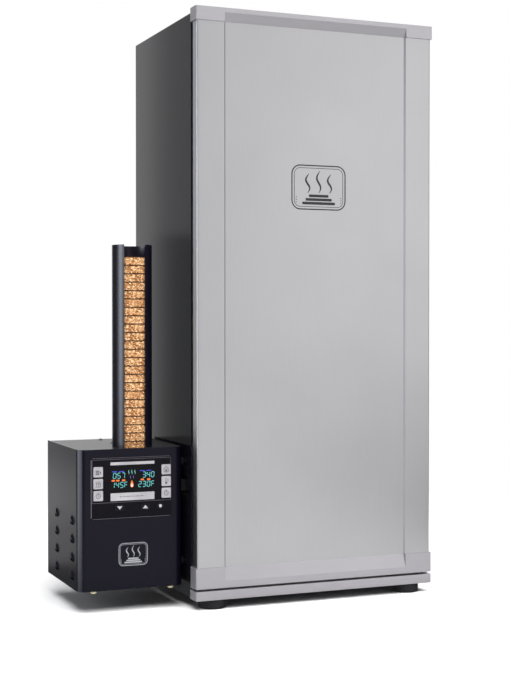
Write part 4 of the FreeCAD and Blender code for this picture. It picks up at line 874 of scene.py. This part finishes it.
def key_marks():
    """Each mark moves with its key: an icon on the silver keys, a triangle or a dot on the black ones."""
    dark = printed("key_ink", srgb(78, 76, 84))
    light = printed("key_light_ink", srgb(170, 168, 172))
    for key, icon in KEY_ICONS.items():
        ink = key_print(key)
        icon(ink)
        piece(f"{key}_icon", ink.shape, dark, key)
    half = 4.4
    for key, rise in (("down_key", -2.7), ("up_key", 2.7)):
        ink = key_print(key)
        ink.plate([(-half, -rise), (half, -rise), (0.0, rise)])
        piece(f"{key}_triangle", ink.shape, light, key)
    ink = key_print("power_key")
    ink.plate(circle((0.0, 0.0), radius=2.5, count=36))
    piece("power_key_dot", ink.shape, light, "power_key")


# ---------------------------------------------------------------- door gasket

def gasket():
    """A soft magnetic gasket: a ribbed section swept round the door's liner, with mitred corners."""
    low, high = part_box("door_gasket")
    wide = 14.0 * MM
    deep = high.y - low.y
    steps = 30
    ribs, rib_height, crown, fullness = 4, 0.09, 0.91, 0.35
    section = []
    for step in range(steps + 1):
        share = step / steps
        swell = math.sin(math.pi * share) ** fullness
        rib = rib_height * math.cos(2 * math.pi * ribs * share)
        section.append((share * wide, deep * max(0.0, min(1.0, swell * (crown + rib)))))
    section.append((wide, 0.0))
    shape = bmesh.new()
    rings = []
    for x, z, right, up in ((low.x, low.z, 1, 1), (high.x, low.z, -1, 1),
                            (high.x, high.z, -1, -1), (low.x, high.z, 1, -1)):
        rings.append([shape.verts.new((x + right * across, low.y + lift, z + up * across))
                      for across, lift in section])
    for index, ring in enumerate(rings):
        bridge(shape, ring, rings[(index + 1) % len(rings)])
    piece("gasket_bellows", shape, FINISHES["gasket_black"], "door",
          ["door_gasket"], smooth=50)


# ---------------------------------------------------------------- studio

BLACK_WALLS = ["outer_shell", "back_panel"]
COOL_WHITE = (0.86, 0.91, 1.0)

# Cards that only reflections see: name, place, target, size and radiance.
CARDS = (
    ("front_wide", (1.2, -2.7, 1.05), (1.2, 0.0, 1.05), (3.6, 2.4), 0.64),
    ("front_right", (2.1, -2.68, 1.15), (2.1, 0.0, 1.15), (2.3, 2.4), 0.44),
    ("front_low", (-0.15, -1.6, 0.004), (-0.15, -1.6, 1.0), (1.4, 2.7), 0.75),
    ("back_card", (0.49, 1.6, 1.0), (0.49, 0.0, 1.0), (2.15, 2.2), 1.2),
    ("wall_card", (0.46, 1.6, 1.0), (0.46, 0.0, 1.0), (2.2, 2.2), 0.62),
    ("back_high", (-0.78, 1.6, 1.42), (-0.78, 0.0, 1.42), (0.45, 1.4), 0.19),
    ("back_slit", (-0.605, 1.6, 0.25), (-0.605, 0.0, 0.25), (0.08, 0.96), 0.40),
    ("back_low", (-0.7, 1.15, 0.004), (-0.7, 1.15, 1.0), (0.7, 1.7), 0.34),
)
# Bright strips that only one node's reflections see: the same, and the node.
STRIPS = (
    ("tube_strip", (-2.3, -0.3, 0.72), (0.0, -0.15, 0.4), (0.9, 1.3), 12.0, "feed_tube"),
    ("door_strip", (-2.3, 0.4, 0.78), (0.0, -0.15, 0.5), (1.0, 1.6), 4.0, "door_skin"),
    ("corner_strip", (-1.8, -0.25, 0.08), (0.0, -0.25, 0.08), (2.1, 0.6), 9.0, "generator_shell"),
)


def area_light(name, place, target, size, radiance, colour=(1, 1, 1), seen_by=("diffuse", "glossy")):
    """A soft rectangular light of a given brightness that the camera doesn't see."""
    data = bpy.data.lights.new(name, "AREA")
    data.shape = "RECTANGLE"
    data.size, data.size_y = size
    data.energy = radiance * math.pi * size[0] * size[1]
    data.color = colour
    light = bpy.data.objects.new(name, data)
    SCENE.collection.objects.link(light)
    light.location = place
    light.rotation_euler = (Vector(target) - Vector(place)).to_track_quat("-Z", "Y").to_euler()
    light.visible_camera = False
    light.visible_diffuse = "diffuse" in seen_by
    light.visible_glossy = "glossy" in seen_by
    return light


def link_light(light, nodes, state="INCLUDE"):
    """Keeps a light to some CAD nodes, or off them."""
    chosen = bpy.data.collections.new(f"{light.name}_nodes")
    for node in nodes:
        chosen.objects.link(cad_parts[node])
    for member in chosen.collection_objects:
        member.light_linking.link_state = state
    light.light_linking.receiver_collection = chosen


def lights():
    """One strong soft light for the floor, cards for the reflections, and strips for single highlights."""
    area_light("floor_light", (0.1, -1.3, 2.6), (0.1, -0.2, 0.0), (3.6, 3.2), 5.6, seen_by=("diffuse",))
    area_light("overhead", (0.2, -0.3, 2.8), (0.1, 0.0, 0.0), (3.2, 3.2), 1.6)
    cards = {row[0]: area_light(*row, seen_by=("glossy",)) for row in CARDS}
    link_light(cards["back_card"], BLACK_WALLS, "EXCLUDE")
    link_light(cards["wall_card"], BLACK_WALLS)
    area_light("left_box", (-2.0, -0.3, 0.7), (0.0, -0.2, 0.6), (1.6, 1.4), 1.3, colour=(0.90, 0.93, 1.0))
    for name, place, target, size, radiance, node in STRIPS:
        link_light(area_light(name, place, target, size, radiance, COOL_WHITE, seen_by=("glossy",)), [node])


def studio_world(ambient):
    """White where the camera looks past the object, and a dim even grey as light."""
    world = bpy.data.worlds.new("studio")
    SCENE.world = world
    world.use_nodes = True
    tree = world.node_tree
    seen = tree.nodes["Background"]
    seen.inputs["Color"].default_value = (1, 1, 1, 1)
    fill = tree.nodes.new("ShaderNodeBackground")
    fill.inputs["Color"].default_value = (0.97, 0.98, 1.0, 1)
    fill.inputs["Strength"].default_value = ambient
    path = tree.nodes.new("ShaderNodeLightPath")
    mix = tree.nodes.new("ShaderNodeMixShader")
    tree.links.new(path.outputs["Is Camera Ray"], mix.inputs["Fac"])
    tree.links.new(fill.outputs["Background"], mix.inputs[1])
    tree.links.new(seen.outputs["Background"], mix.inputs[2])
    tree.links.new(mix.outputs["Shader"], tree.nodes["World Output"].inputs["Surface"])


FLOOR_HALF_SIDE = 3.0
FLOOR_FADE = (0.75, 1.5)
BELOW_FEET = -0.5 * MM


def floor():
    """A pale floor that fades into the white round about; the reflections see the cards instead of it."""
    shape = bmesh.new()
    bmesh.ops.create_grid(shape, x_segments=8, y_segments=8, size=FLOOR_HALF_SIDE)
    mesh = bpy.data.meshes.new("floor")
    shape.to_mesh(mesh)
    shape.free()
    finish = Finish("floor_white", roughness=0.9, specular_ior_level=0.1)
    finish.colour(finish.ramp(finish.noise(3), (0.3, (0.88, 0.88, 0.885, 1)), (0.7, grey(0.9))))
    where = finish.add("ShaderNodeTexCoord").outputs["Object"]
    away = finish.add("ShaderNodeVectorMath", {0: where}, operation="LENGTH").outputs["Value"]
    finish.join(finish.level(away, over=FLOOR_FADE, into=(1.0, 0.0)), finish.shader.inputs["Alpha"])
    mesh.materials.append(finish.material)
    made = bpy.data.objects.new("floor", mesh)
    SCENE.collection.objects.link(made)
    made.location.z = BELOW_FEET
    made.visible_glossy = False


CAMERA_LENS = 72.99
CAMERA_SENSOR = 36.0
CAMERA_LEFT = 0.7613
CAMERA_AHEAD = 2.0821
CAMERA_HEIGHT = 0.4709
CAMERA_DOWN = 0.894
CAMERA_TURN = 22.533


def camera():
    """The camera stands left of the door's top left corner and ahead of it, turned back to the right."""
    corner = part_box("door_cap_top")[0]
    data = bpy.data.cameras.new("camera")
    data.lens = CAMERA_LENS
    data.sensor_width = CAMERA_SENSOR
    made = bpy.data.objects.new("camera", data)
    SCENE.collection.objects.link(made)
    made.location = (corner.x - CAMERA_LEFT, corner.y - CAMERA_AHEAD, CAMERA_HEIGHT)
    made.rotation_euler = (math.radians(90 - CAMERA_DOWN), 0, math.radians(-CAMERA_TURN))
    SCENE.camera = made


# ---------------------------------------------------------------- the whole scene

camera()
studio_world(ambient=0.12)
lights()
floor()
SCENE.view_settings.view_transform = "Standard"

dress_cad_nodes()
chance = random.Random(5)
pucks("wood_pucks", "cabinet", "wood_puck", chance)
pucks("deck_pucks", "pusher", "deck_puck", chance)
screws()
smoke_mark("door_badge", "door_emblem", FINISHES["emblem_print"], "door")
smoke_mark("generator_mark", "generator_emblem", FINISHES["mark_print"], "cabinet")
display_readings()
display_marks()
panel_trim()
key_marks()
gasket()
